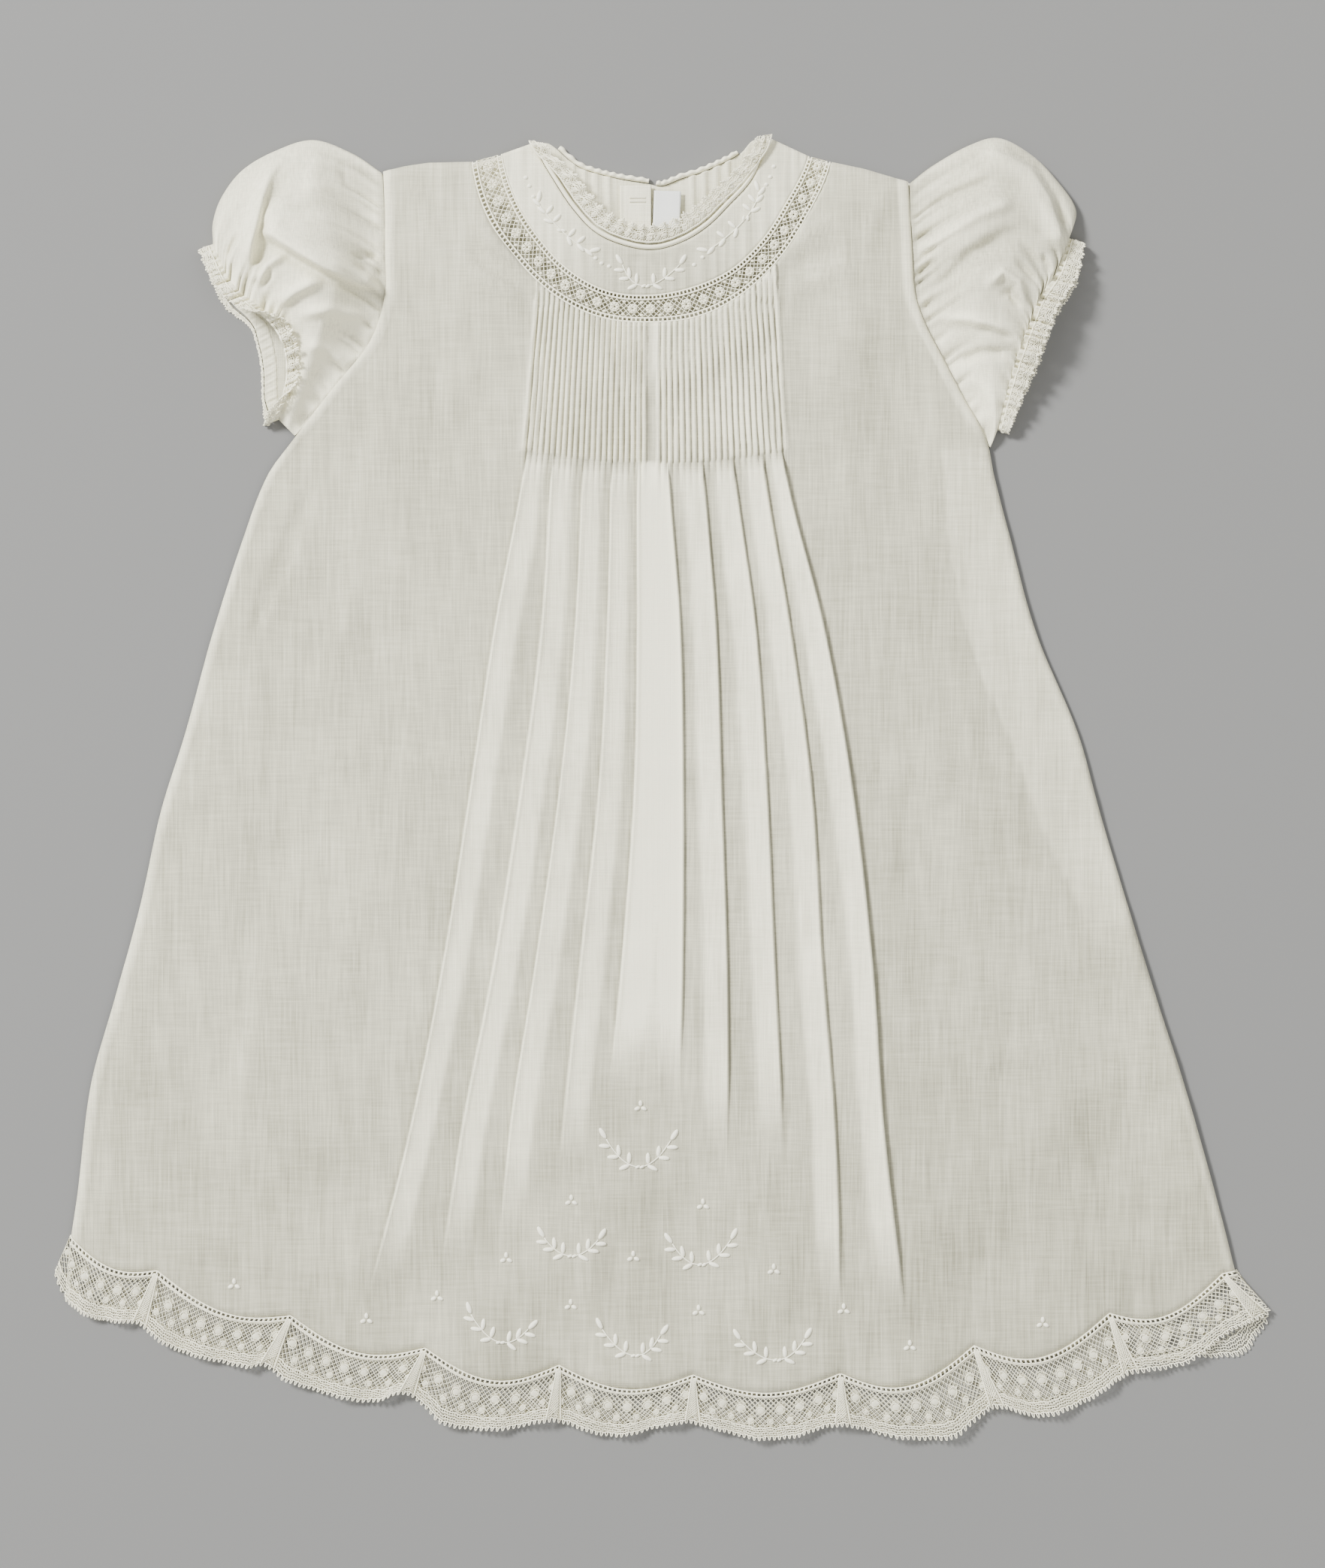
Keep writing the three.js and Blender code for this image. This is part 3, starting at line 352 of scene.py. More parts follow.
    def pleat_height(self, x: Array, y: Array) -> tuple[Array, Array]:
        """Height of the pressed pleats, and how doubled the cloth beside their folds is, from 0 to 1.

        Each pleat is a saw tooth: steep past its fold edge, and falling evenly from there to the next one.
        """
        height, doubled = np.zeros(np.shape(x)), np.zeros(np.shape(x))
        edges = [fold(y) for fold in self.folds]
        for i, pleat in enumerate(self.PLEATS):
            inner = edges[i + 1] if pleat.side is Side.LEFT else edges[i - 1]
            width = np.abs(edges[i] - inner)
            q, grown = self.under_pleat(i, x, y)
            ramp = np.clip(1 - q / width, 0, 1) ** 1.4
            drop = ease(q, -0.35, 0.1)
            bead = 0.35 * np.exp(-(((q - 0.5) / 0.6) ** 2))
            height = height + pleat.rise * grown * drop * np.where(q < width, ramp + bead, 0)
            under = np.clip(width * 0.62, 3, 7.5)
            band = ease(q, -0.3, 0.1) * (1 - ease(q, under - 1.2, under + 1.6))
            doubled = np.maximum(doubled, band * grown)
        return height, doubled


# Materials


class Socket:
    """A number in a material's nodes, so that shader maths is written as an expression."""

    def __init__(self, web: "Web", socket: bpy.types.NodeSocket) -> None:
        """Wrap a node's output."""
        self.web = web
        self.socket = socket

    def _math(self, operation: str, *values: "Socket | float") -> "Socket":
        """Add a Math node on values."""
        return self.web.value("ShaderNodeMath", {"operation": operation}, dict(enumerate(values)))

    def __add__(self, other: "Socket | float") -> "Socket":
        """Self + other."""
        return self._math("ADD", self, other)

    def __radd__(self, other: float) -> "Socket":
        """Other + self."""
        return self._math("ADD", other, self)

    def __sub__(self, other: "Socket | float") -> "Socket":
        """Self - other."""
        return self._math("SUBTRACT", self, other)

    def __mul__(self, other: "Socket | float") -> "Socket":
        """Self * other."""
        return self._math("MULTIPLY", self, other)

    def __rmul__(self, other: float) -> "Socket":
        """Other * self."""
        return self._math("MULTIPLY", other, self)

    def sine(self) -> "Socket":
        """The sine of self."""
        return self._math("SINE", self)


class Web:
    """A material's node tree."""

    def __init__(self, name: str) -> None:
        """Make a material with an output and nothing else."""
        self.material = bpy.data.materials.new(name)
        self.material.use_nodes = True
        self.tree = self.material.node_tree
        self.tree.nodes.clear()

    def node(self, kind: str, settings: dict[str, object], inputs: dict[object, object]) -> bpy.types.Node:
        """Add a node.

        Args:
            kind: the node's type.
            settings: attributes, set first.
            inputs: a value or a link for each socket, by name or number.

        Returns:
            The node.
        """
        node = self.tree.nodes.new(kind)
        for key, value in settings.items():
            setattr(node, key, value)
        for key, value in inputs.items():
            source = value.socket if isinstance(value, Socket) else value
            if isinstance(source, bpy.types.NodeSocket):
                self.tree.links.new(source, node.inputs[key])
            else:
                node.inputs[key].default_value = source
        return node

    def value(
        self, kind: str, settings: dict[str, object], inputs: dict[object, object], output: int | str = 0
    ) -> Socket:
        """Add a node and wrap one of its outputs."""
        return Socket(self, self.node(kind, settings, inputs).outputs[output])


class Weave(Enum):
    """How a finish's threads run."""

    PLAIN = "plain"
    SATIN = "satin"
    THREAD = "thread"
    NONE = "none"


@dataclass(frozen=True)
class Finish:
    """A finish: two colours that the cloth's tone runs between, its gloss, and its threads in millimetres."""

    name: str
    thin: tuple[float, float, float]
    full: tuple[float, float, float]
    roughness: float
    weave: Weave
    pitch: float = 0.4
    relief: float = 0.05
    slubs: float = 0.0
    sheen: float = 0.15

    def material(self) -> bpy.types.Material:
        """Make the finish's material, once."""
        if self.name in bpy.data.materials:
            return bpy.data.materials[self.name]
        web = Web(self.name)
        source = "UV" if self.weave is Weave.SATIN else "Object"
        place = web.node("ShaderNodeTexCoord", {}, {}).outputs[source]
        if self.weave is not Weave.SATIN:
            place = web.node(
                "ShaderNodeVectorMath", {"operation": "SCALE"}, {0: place, "Scale": 1 / MM}
            ).outputs[0]
        part = web.node("ShaderNodeSeparateXYZ", {}, {0: place})
        x, y = (Socket(web, part.outputs[i]) for i in (0, 1))
        tone = web.value("ShaderNodeAttribute", {"attribute_name": "tone"}, {}, "Fac")
        height = self._threads(x, y, web, place)
        uneven = web.value(
            "ShaderNodeTexNoise", {}, {"Vector": place, "Scale": 0.045, "Detail": 3.0, "Roughness": 0.55}
        )
        slub = self._slubs(web, place) if self.slubs else None
        share = tone + (uneven - 0.5) * 0.22
        if slub is not None:
            share = share + slub * self.slubs
        if self.weave is Weave.PLAIN:
            share = share + (height - 0.5) * 0.05
        colour = web.node(
            "ShaderNodeMix",
            {"data_type": "RGBA", "clamp_factor": True},
            {0: share, 6: (*self.thin, 1), 7: (*self.full, 1)},
        ).outputs[2]
        relief = height if slub is None else height + slub * 0.8
        bump = web.node(
            "ShaderNodeBump", {}, {"Strength": 1.0, "Distance": self.relief * MM, "Height": relief}
        ).outputs[0]
        surface = web.node(
            "ShaderNodeBsdfPrincipled",
            {},
            {
                "Base Color": colour,
                "Roughness": self.roughness,
                "Specular IOR Level": 0.25,
                "Sheen Weight": self.sheen,
                "Sheen Roughness": 0.5,
                "Normal": bump,
            },
        ).outputs[0]
        web.node("ShaderNodeOutputMaterial", {}, {"Surface": surface})
        return web.material

    def _threads(self, x: Socket, y: Socket, web: Web, place: bpy.types.NodeSocket) -> Socket:
        """The height of the threads: crossed sines for a plain weave, one row of sines for satin."""
        if self.weave is Weave.PLAIN:
            turn = TAU / self.pitch
            return 0.5 + 0.25 * ((x * turn).sine() + (y * turn).sine())
        if self.weave is Weave.SATIN:
            return 0.5 + 0.5 * ((x * TAU * self.pitch) + (y * TAU * 0.6)).sine()
        scale = 2.2 if self.weave is Weave.THREAD else 0.5
        return web.value("ShaderNodeTexNoise", {}, {"Vector": place, "Scale": scale, "Detail": 2.0})

    def _slubs(self, web: Web, place: bpy.types.NodeSocket) -> Socket:
        """Thick threads here and there: noise drawn out along x, and again along y."""
        runs = []
        for stretch in ((0.09, 2.1, 1.0), (1.9, 0.06, 1.0)):
            spread = {0: place, 1: stretch}
            drawn = web.node("ShaderNodeVectorMath", {"operation": "MULTIPLY"}, spread).outputs[0]
            runs.append(web.value("ShaderNodeTexNoise", {}, {"Vector": drawn, "Scale": 1.0, "Detail": 1.0}))
        return runs[0] * 0.7 + runs[1] * 1.2 - 0.95


BATISTE = Finish(
    "woven_batiste", (0.26, 0.25, 0.178), (0.95, 0.915, 0.7), 0.9, Weave.PLAIN, relief=0.06, slubs=0.42
)
BINDING = Finish(
    "bias_binding", (0.45, 0.435, 0.32), (0.96, 0.925, 0.715), 0.9, Weave.PLAIN, relief=0.04
)
LACE = Finish(
    "lace_thread", (0.4, 0.385, 0.285), (0.98, 0.945, 0.74), 0.85, Weave.THREAD, relief=0.04, sheen=0.1
)
SATIN = Finish(
    "satin_stitch", (0.7, 0.68, 0.52), (1.0, 0.975, 0.8), 0.45, Weave.SATIN, pitch=3.0, relief=0.03, sheen=0.3
)
TAPE = Finish(
    "woven_tape", (0.55, 0.56, 0.53), (0.82, 0.83, 0.79), 0.55, Weave.PLAIN, pitch=0.35, relief=0.03
)
FLOOR = Finish(
    "pale_surface", (0.185, 0.185, 0.18), (0.2, 0.2, 0.195), 0.95, Weave.NONE, relief=0.0, sheen=0.0
)


# Meshes


class Piecework:
    """Arrays of points and faces that are put together into one mesh. Points are in millimetres."""

    def __init__(self, name: str) -> None:
        """Start an empty piece."""
        self.name = name
        self.points: list[Array] = []
        self.faces: list[Array] = []
        self.tones: list[Array] = []
        self.uvs: list[Array] = []
        self.count = 0

    def add(
        self, points: Array, faces: Sequence[Array], tone: Array | float = 1.0, uv: Array | None = None
    ) -> None:
        """Add a closed surface, turned to face outwards.

        Args:
            points: its points, n by 3.
            faces: arrays of point numbers, each with faces of one size.
            tone: the cloth's lightness at each point, from 0 to 1.
            uv: a place in the pattern for each point.
        """
        volume = 0.0
        for face in faces:
            a = points[face[:, 0]]
            for k in range(1, face.shape[1] - 1):
                volume += np.einsum("ij,ij->", a, np.cross(points[face[:, k]], points[face[:, k + 1]]))
        for face in faces:
            turned = face[:, ::-1] if volume < 0 else face
            self.faces.append(turned + self.count)
        self.points.append(points)
        self.tones.append(np.broadcast_to(np.asarray(tone, float), len(points)))
        self.uvs.append(points[:, :2] if uv is None else uv)
        self.count += len(points)

    def add_shell(
        self, top: Array, bottom: Array, tone: Array | float, around: bool = False, keep: Array | None = None
    ) -> None:
        """Add a thin wall between two grids, its tone one number or a grid of its own."""
        spread = np.tile(tone.ravel(), 2) if np.ndim(tone) else tone
        self.add(*shell(top, bottom, around, keep), tone=spread)

    def add_cords(
        self, paths: Array, radius: Array | float, sides: int = 4, flat: float = 1.0, tone: float = 1.0
    ) -> None:
        """Add threads along paths."""
        self.add(*cords(paths, radius, sides, flat), tone=tone)

    def add_beads(self, *sizes: Array | float, tone: float = 1.0, stitched: bool = True) -> None:
        """Add domed lozenges; stitched ones have threads that follow their length."""
        points, faces, uv = beads(*sizes)
        self.add(points, faces, tone, uv if stitched else None)

    def make(self, finish: Finish, replaces: str | None = None) -> bpy.types.Object:
        """Make the mesh and its object, riding on the gown.

        Args:
            finish: the finish of the whole piece.
            replaces: the node that it stands for.

        Returns:
            The object.
        """
        points = np.concatenate(self.points) * MM
        sizes = np.concatenate([np.full(len(f), f.shape[1]) for f in self.faces])
        corners = np.concatenate([f.ravel() for f in self.faces])
        mesh = bpy.data.meshes.new(self.name)
        mesh.vertices.add(len(points))
        mesh.vertices.foreach_set("co", points.astype(np.float32).ravel())
        mesh.loops.add(len(corners))
        mesh.loops.foreach_set("vertex_index", corners.astype(np.int32))
        mesh.polygons.add(len(sizes))
        mesh.polygons.foreach_set("loop_start", (np.cumsum(sizes) - sizes).astype(np.int32))
        mesh.polygons.foreach_set("use_smooth", np.ones(len(sizes), bool))
        mesh.update(calc_edges=True)
        mesh.attributes.new("tone", "FLOAT", "POINT").data.foreach_set(
            "value", np.concatenate(self.tones).astype(np.float32)
        )
        uv = mesh.uv_layers.new(name="pattern")
        uv.uv.foreach_set("vector", np.concatenate(self.uvs)[corners].astype(np.float32).ravel())
        mesh.materials.append(finish.material())
        piece = bpy.data.objects.new(self.name, mesh)
        bpy.context.scene.collection.objects.link(piece)
        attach(piece, "root")
        if replaces:
            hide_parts(replaces)
        LOG.info("%s: %d points, %d faces", self.name, len(points), len(sizes))
        return piece


def shell(
    top: Array, bottom: Array, around: bool = False, keep: Array | None = None
) -> tuple[Array, list[Array]]:
    """A thin closed wall between two grids of points.

    Args:
        top: one face's points, n by m by 3.
        bottom: the other face's points.
        around: whether the last column meets the first.
        keep: for each square of the grid, whether it is cloth; holes get walls of their own.

    Returns:
        The points and the faces.
    """
    n, m = top.shape[:2]
    across = n if around else n - 1
    keep = np.ones((across, m - 1), bool) if keep is None else keep
    at = np.arange(n * m).reshape(n, m)
    if around:
        at = np.concatenate([at, at[:1]])
    a, b, c, d = at[:-1, :-1], at[1:, :-1], at[1:, 1:], at[:-1, 1:]
    deep = n * m
    quads = [np.stack([a, b, c, d], -1)[keep], np.stack([d, c, b, a], -1)[keep] + deep]
    rows = np.pad(keep, ((0, 0), (1, 1)))
    first, second = at[:-1, :], at[1:, :]
    starts, ends = ~rows[:, :-1] & rows[:, 1:], rows[:, :-1] & ~rows[:, 1:]
    quads.append(np.stack([second, first, first + deep, second + deep], -1)[starts])
    quads.append(np.stack([first, second, second + deep, first + deep], -1)[ends])
    columns = np.concatenate([keep[-1:], keep, keep[:1]]) if around else np.pad(keep, ((1, 1), (0, 0)))
    edge = at
    starts, ends = ~columns[:-1] & columns[1:], columns[:-1] & ~columns[1:]
    if around:
        starts, ends, edge = starts[:-1], ends[:-1], at[:-1]
    first, second = edge[:, :-1], edge[:, 1:]
    quads.append(np.stack([first, second, second + deep, first + deep], -1)[starts])
    quads.append(np.stack([second, first, first + deep, second + deep], -1)[ends])
    points = np.concatenate([top.reshape(-1, 3), bottom.reshape(-1, 3)])
    return points, [np.concatenate([q.reshape(-1, 4) for q in quads])]


def lowered(points: Array, by: float) -> Array:
    """The same points, lower."""
    return points - np.array([0, 0, by])


def levelled(points: Array, z: float) -> Array:
    """The same points, all at one height."""
    flat = points.copy()
    flat[..., 2] = z
    return flat


def cords(
    paths: Array, radius: Array | float, sides: int = 4, flat: float = 1.0
) -> tuple[Array, list[Array]]:
    """Closed threads along paths: a ring of sides points round each point of each path.

    Args:
        paths: n paths of k points, n by k by 3.
        radius: half the thread's width.
        sides: points of a ring.
        flat: the thread's height as a share of its width.

    Returns:
        The points and the faces.
    """
    n, k = paths.shape[:2]
    along = np.gradient(paths, axis=1)
    along /= np.linalg.norm(along, axis=2, keepdims=True) + 1e-9
    side = np.cross(along, np.array([0, 0, 1.0]))
    size = np.linalg.norm(side, axis=2, keepdims=True)
    side = np.where(size > 0.05, side / (size + 1e-9), np.array([1.0, 0, 0]))
    up = np.cross(side, along)
    turn = (np.arange(sides) + 0.5) * TAU / sides
    r = np.broadcast_to(np.asarray(radius, float), (n, k) if np.ndim(radius) else ())[..., None, None]
    ring = side[:, :, None] * np.cos(turn)[:, None] + up[:, :, None] * np.sin(turn)[:, None] * flat
    points = (paths[:, :, None] + ring * r).reshape(-1, 3)
    at = np.arange(n * k * sides).reshape(n, k, sides)
    after = np.roll(at, -1, axis=2)
    tube = np.stack([at[:, :-1], after[:, :-1], after[:, 1:], at[:, 1:]], -1).reshape(-1, 4)
    caps = np.concatenate([at[:, 0, ::-1], at[:, -1]])
    return points, [tube, caps]


def beads(
    centres: Array, turn: Array, length: Array, width: Array, height: float, rings: int = 5, sides: int = 8
) -> tuple[Array, list[Array], Array]:
    """Small domed lozenges, such as satin leaves and dots.

    Each is a ball of rings between two tips, drawn out to its sizes, with its under half flattened.

    Returns:
        The points, the faces and each point's place in the stitches.
    """
    t = np.linspace(0, np.pi, rings + 2)[1:-1]
    a = np.arange(sides) * TAU / sides
    u = np.concatenate([[-1.0], np.repeat(-np.cos(t), sides), [1.0]])
    spread = np.concatenate([[0.0], np.repeat(np.sin(t), sides), [0.0]])
    v = spread * np.concatenate([[0.0], np.tile(np.cos(a), rings), [0.0]])
    w = spread * np.concatenate([[0.0], np.tile(np.sin(a), rings), [0.0]])
    w = np.where(w < 0, w * 0.35, w)
    turn, length, width = (np.broadcast_to(np.asarray(q, float), len(centres)) for q in (turn, length, width))
    dx, dy = length[:, None] * u, width[:, None] * v
    x = centres[:, None, 0] + dx * np.cos(turn)[:, None] - dy * np.sin(turn)[:, None]
    y = centres[:, None, 1] + dx * np.sin(turn)[:, None] + dy * np.cos(turn)[:, None]
    z = centres[:, None, 2] + w * height
    points = np.stack([x, y, z], -1).reshape(-1, 3)
    one = rings * sides + 2
    at = 1 + np.arange(rings * sides).reshape(rings, sides)
    after = np.roll(at, -1, axis=1)
    tube = np.stack([at[:-1], after[:-1], after[1:], at[1:]], -1).reshape(-1, 4)
    first = np.stack([np.zeros(sides, int), after[0], at[0]], -1)
    last = np.stack([np.full(sides, one - 1), at[-1], after[-1]], -1)
    shift = (np.arange(len(centres)) * one)[:, None, None]
    tips = np.concatenate([first, last])
    faces = [(face[None] + shift).reshape(-1, face.shape[1]) for face in (tube, tips)]
    uv = np.stack([dx + length[:, None], dy], -1).reshape(-1, 2)
    return points, faces, uv


# Cloth


@dataclass
class FrontPanel:
    """The front of the gown: pintucked above, released into pressed pleats, slightly creased below."""

    pattern: Pattern
    thickness: float = 0.3
    tuck_rise: float = 0.95
    side_columns: int = 56
    bodice_rows: int = 30
    skirt_rows: int = 96
    margin: float = 80.0  # from the outermost tucks to the columns that stand for the side edges
    creases: tuple[Crease, ...] = (
        Crease(((-141, 9.5), (-90, 11), (-20, 9.8), (60, 8.6), (121, 10.5)), 0.34, 2.2, 3.0, 0.1),
        Crease(((-115.5, 107), (-121.5, 89), (-128, 73), (-133, 62), (-139, 47)), -0.8, 1.6, 2.8),
        Crease(((-92, 160), (-94, 120), (-103, 70), (-118, 10)), 0.45, 7, 5),
        Crease(((-70, 195), (-66, 150), (-66, 110), (-74, 60)), 0.35, 5, 7),
        Crease(((-60, 100), (-78, 30), (-98, -40), (-118, -100)), 0.4, 8, 6),
        Crease(((-120, 20), (-134, -40), (-150, -100), (-158, -140)), -0.45, 7, 9),
        Crease(((-165, -20), (-174, -70), (-182, -120)), 0.5, 5, 7),
        Crease(((66, 190), (60, 150), (62, 112), (72, 60)), 0.4, 6, 5),
        Crease(((74, 176), (76, 140), (84, 100), (92, 60)), -0.35, 5, 6),
        Crease(((78, 60), (92, 0), (104, -60), (112, -120)), 0.5, 7, 8),
        Crease(((120, -20), (132, -70), (146, -130)), -0.5, 8, 7),
        Crease(((150, -40), (164, -90), (176, -140)), 0.5, 6, 6),
        Crease(((-30, -120), (-24, -150), (-26, -180)), 0.45, 6, 6),
        Crease(((30, -128), (36, -155), (34, -185)), 0.45, 6, 7),
        Crease(((-90, -130), (-98, -155), (-104, -176)), 0.5, 6, 5),
        Crease(((84, -135), (92, -160), (96, -182)), 0.5, 6, 6),
        Crease(((-150, -60), (-120, -66), (-90, -60)), 0.3, 4, 6),
        Crease(((95, -92), (125, -86), (150, -92)), 0.3, 5, 4),
        Crease(((-64, 190), (-54, 181), (-45, 174.5)), 0.7, 2.4, 1.6),
        Crease(((-67, 182), (-55, 174.5), (-44, 169)), -0.6, 2.2, 1.8),
        Crease(((-68, 176), (-56, 169), (-45, 163)), 0.6, 2.4, 2.0),
        Crease(((38, 178), (48, 186), (60, 193)), 0.7, 1.8, 2.4),
        Crease(((38, 172), (50, 178), (62, 182)), -0.6, 1.8, 2.2),
        Crease(((38, 166), (52, 171), (66, 174)), 0.6, 2.0, 2.4),
        Crease(((-90, 205), (-80, 196), (-74, 180)), 0.5, 3.0, 3.0),
        Crease(((78, 202), (70, 192), (66, 178)), 0.5, 3.0, 3.0),
    )

    def height(self, x: Array, y: Array) -> Array:
        """The top of the front: tucks, pleats, creases and soft waves, sunk towards its edges."""
        pattern = self.pattern
        pleats, _ = pattern.pleat_height(x, y)
        count, tucked = pattern.tuck_count(x, y)
        foot = pattern.tuck_foot(x)
        above = ease(y, foot - 0.5, foot + 0.5)
        profile = np.interp(count % 1, (0, 0.08, 0.3, 0.7, 0.8, 1), (0, 0.55, 0.85, 1, 0, 0))
        fold = profile * tucked * self.tuck_rise
        stitches = 0.16 * np.sin(TAU * y / 1.7 + 2.1 * np.floor(count))
        stitched = 1 + stitches + 0.1 * np.sin(TAU * y / 4.3 + count)
        fluted = np.exp(-np.maximum(foot - y, 0) / 4.5) * (1 - above)
        pucker = (0.35 - 1.2 * pinch(count)) * tucked * fluted
        free = ease(np.abs(x), 20, 60) + 1 - ease(y, -60, 100)
        waves = 0.6 * ripple(x, y, 3, 9, 45, 120) + 0.3 * ripple(x, y, 5, 9, 12, 30)
        soft = (1.7 * creased(x, y, self.creases) + waves) * np.clip(free, 0.25, 1)
        fine = 0.05 * ripple(x, y, 9, 9, 3, 8)
        z = pattern.FRONT_TOP + 0.15 + pleats + fold * stitched * above + pucker + soft + fine
        inset = np.minimum(x - pattern.left(y), pattern.right(y) - x)
        armhole = ease(y, 112, 122)
        rim = 0.5 * np.exp(-(((inset - 1.6) / 1.3) ** 2))
        puckers = 0.22 * np.sin(TAU * y / 3.3 + 1.5 * np.sin(y / 4.7)) * np.exp(-inset / 3.5)
        z = z + rim * (0.6 + 0.4 * armhole) + armhole * puckers
        z = z - lerp(0.8, 0.2, armhole) * (1 - ease(inset, 0, 1.4))
        z = z - 0.3 * (1 - ease(y - pattern.hem(x), 0, 3))
        return np.maximum(z, 1.35 + self.thickness)

    def tone(self, x: Array, y: Array) -> Array:
        """Where the cloth lies double it looks whiter: tucks, pleats, seam allowances and the hem. Painted
        shade darkens the grooves between tucks, the furrows at their feet and a line past each pleat's fold
        edge. The cloth is also slightly darker towards the hem and on the right.
        """
        pattern = self.pattern
        _, doubled = pattern.pleat_height(x, y)
        count, tucked = pattern.tuck_count(x, y)
        foot = pattern.tuck_foot(x)
        above = ease(y, foot - 0.5, foot + 0.5)
        folded = np.interp(count % 1, (0, 0.05, 0.12, 0.74, 0.82, 1), (0, 0, 1, 1, 0, 0))
        tone = 0.38 + 0.11 * ripple(x, y, 17, 8, 22, 70) + 0.09 * ripple(x, 0.2 * y, 19, 8, 5, 14)
        # Doubled cloth is whiter. The single layer between tucks is darker, partly as painted shade in their
        # grooves.
        tone = tone + 0.48 * doubled + tucked * above * (0.42 * folded - 0.12 * (1 - folded))
        tone = tone - self._painted_shadow_beside_folds(x, y)
        # Painted shade in the furrows where the tucks end, a little lighter between them.
        fluted = np.exp(-np.maximum(foot - y, 0) / 3.5) * (1 - above)
        tone = tone + (0.12 - 0.55 * pinch(count)) * tucked * fluted
        box = np.minimum(x - pattern.folds[4](y), pattern.folds[5](y) - x)
        tone = tone + 0.42 * ease(box, -0.4, 1.2) * ease(y, -105, -60) * (1 - above)
        tone = tone - 0.08 * ease(-y, 60, 150) + 0.06 * ease(y, 150, 190)
        seam = pattern.left(y) + 2.8 + 0.25 * np.sin(TAU * y / 7.3)
        tone = tone + 0.24 * (1 - ease(x - seam, -0.3, 0.4)) * ease(118 - y, 0, 6)
        seam = pattern.right(y) - 2.6 + 0.3 * np.sin(TAU * y / 6.1)
        tone = tone + 0.24 * ease(x - seam, -0.4, 0.3) * ease(-y, 60, 110)
        wedge = Line((114.5, 71, 39, 14, -12.8, -60), (92, 96.8, 106, 116.8, 126.3, 149))(y)
        tone = tone + 0.22 * ease(x - wedge, -0.5, 0.5) * (1 - ease(y, 112, 118)) * ease(y, -62, -20)
        inset = np.minimum(x - pattern.left(y), pattern.right(y) - x)
        tone = tone + 0.3 * (1 - ease(inset, 2.8, 4.0)) * ease(y, 118, 124)
        tone = tone + 0.14 * (1 - ease(y - pattern.hem(x), 1.2, 2.2))
        return tone - 0.04 * ease(x, 40, 70) * (1 - ease(y, 180, 210))

    def _painted_shadow_beside_folds(self, x: Array, y: Array) -> Array:
        """Painted shadow: how much darker the single cloth is painted just past each pleat's fold edge."""
        shade = np.zeros(np.shape(x))
        for i, pleat in enumerate(self.pattern.PLEATS):
            under, grown = self.pattern.under_pleat(i, x, y)
            # The painted shadow is deeper past the right-hand pleats, whose fold edges face away from the
            # light on the left.
            depth = 0.34 if pleat.side is Side.RIGHT else 0.16
            shade = shade + depth * grown * np.exp(-(((-under - 0.55) / 0.6) ** 2)) * (under < 0.1)
        return shade

    def grid(self) -> tuple[Array, Array]:
        """The panel's points in plan. Columns keep their share of the way between two fold lines."""
        pattern = self.pattern
        foot = pattern.TUCK_FOOT
        edges = [fold(foot[0]) for fold in pattern.folds]
        knots = np.array([foot[1] - self.margin, *edges, foot[4] + self.margin])
        steps = (np.arange(pattern.TUCKS)[:, None] + np.array([0, 0.09, 0.32, 0.7, 0.81])).ravel()
        left = foot[2] - steps * (foot[2] - foot[1]) / (pattern.TUCKS - 1)
        right = foot[3] + steps * (foot[4] - foot[3]) / (pattern.TUCKS - 1)
        folds = np.concatenate([knots[1:-1] + shift for shift in (-0.35, 0, 0.3)])
        side = np.linspace(0, 1, self.side_columns)
        sides = [lerp(knots[0], left.min(), side), lerp(right.max(), knots[-1], side)]
        u = np.concatenate([left, right, folds, *sides])
        u = np.unique(np.round(np.clip(u, knots[0], knots[-1]), 3))
        k = np.clip(np.searchsorted(knots, u, side="right") - 1, 0, len(knots) - 2)
        share = (u - knots[k]) / (knots[k + 1] - knots[k])

        def x_at(y: Array) -> Array:
            """The columns' x at a level for each column."""
            lines = np.stack([pattern.left(y), *(fold(y) for fold in pattern.folds), pattern.right(y)])
            pick = np.broadcast_to(k.reshape(-1, *([1] * (np.ndim(y) - 1))), np.shape(y))
            t = share.reshape(-1, *([1] * (np.ndim(y) - 1)))
            low = np.take_along_axis(lines, pick[None], 0)[0]
            high = np.take_along_axis(lines, pick[None] + 1, 0)[0]
            return lerp(low, high, t)

        start = rises_through(lambda y: y - pattern.front_top(x_at(y)), 0, 230, u.shape)
        end = rises_through(lambda y: y - pattern.hem(x_at(y)), -230, 0, u.shape)
        foot_y = pattern.tuck_foot(x_at(np.full(u.shape, pattern.TUCK_END)))
        upper = lerp(start[:, None], foot_y[:, None] + 0.5, np.linspace(0, 1, self.bodice_rows))
        lower = lerp(foot_y[:, None] - 0.7, end[:, None], np.linspace(0, 1, self.skirt_rows) ** 0.93)
        y = np.concatenate([upper, lower], axis=1)
        return x_at(y), y

    def build(self, trims: list[bpy.types.Object]) -> bpy.types.Object:
        """Make the front panel."""
        x, y = self.grid()
        top = np.stack([x, y, self.height(x, y)], -1)
        piece = Piecework("front_cloth")
        piece.add_shell(top, lowered(top, self.thickness), tone=self.tone(x, y))
        made = piece.make(BATISTE, "front_panel")
        return made


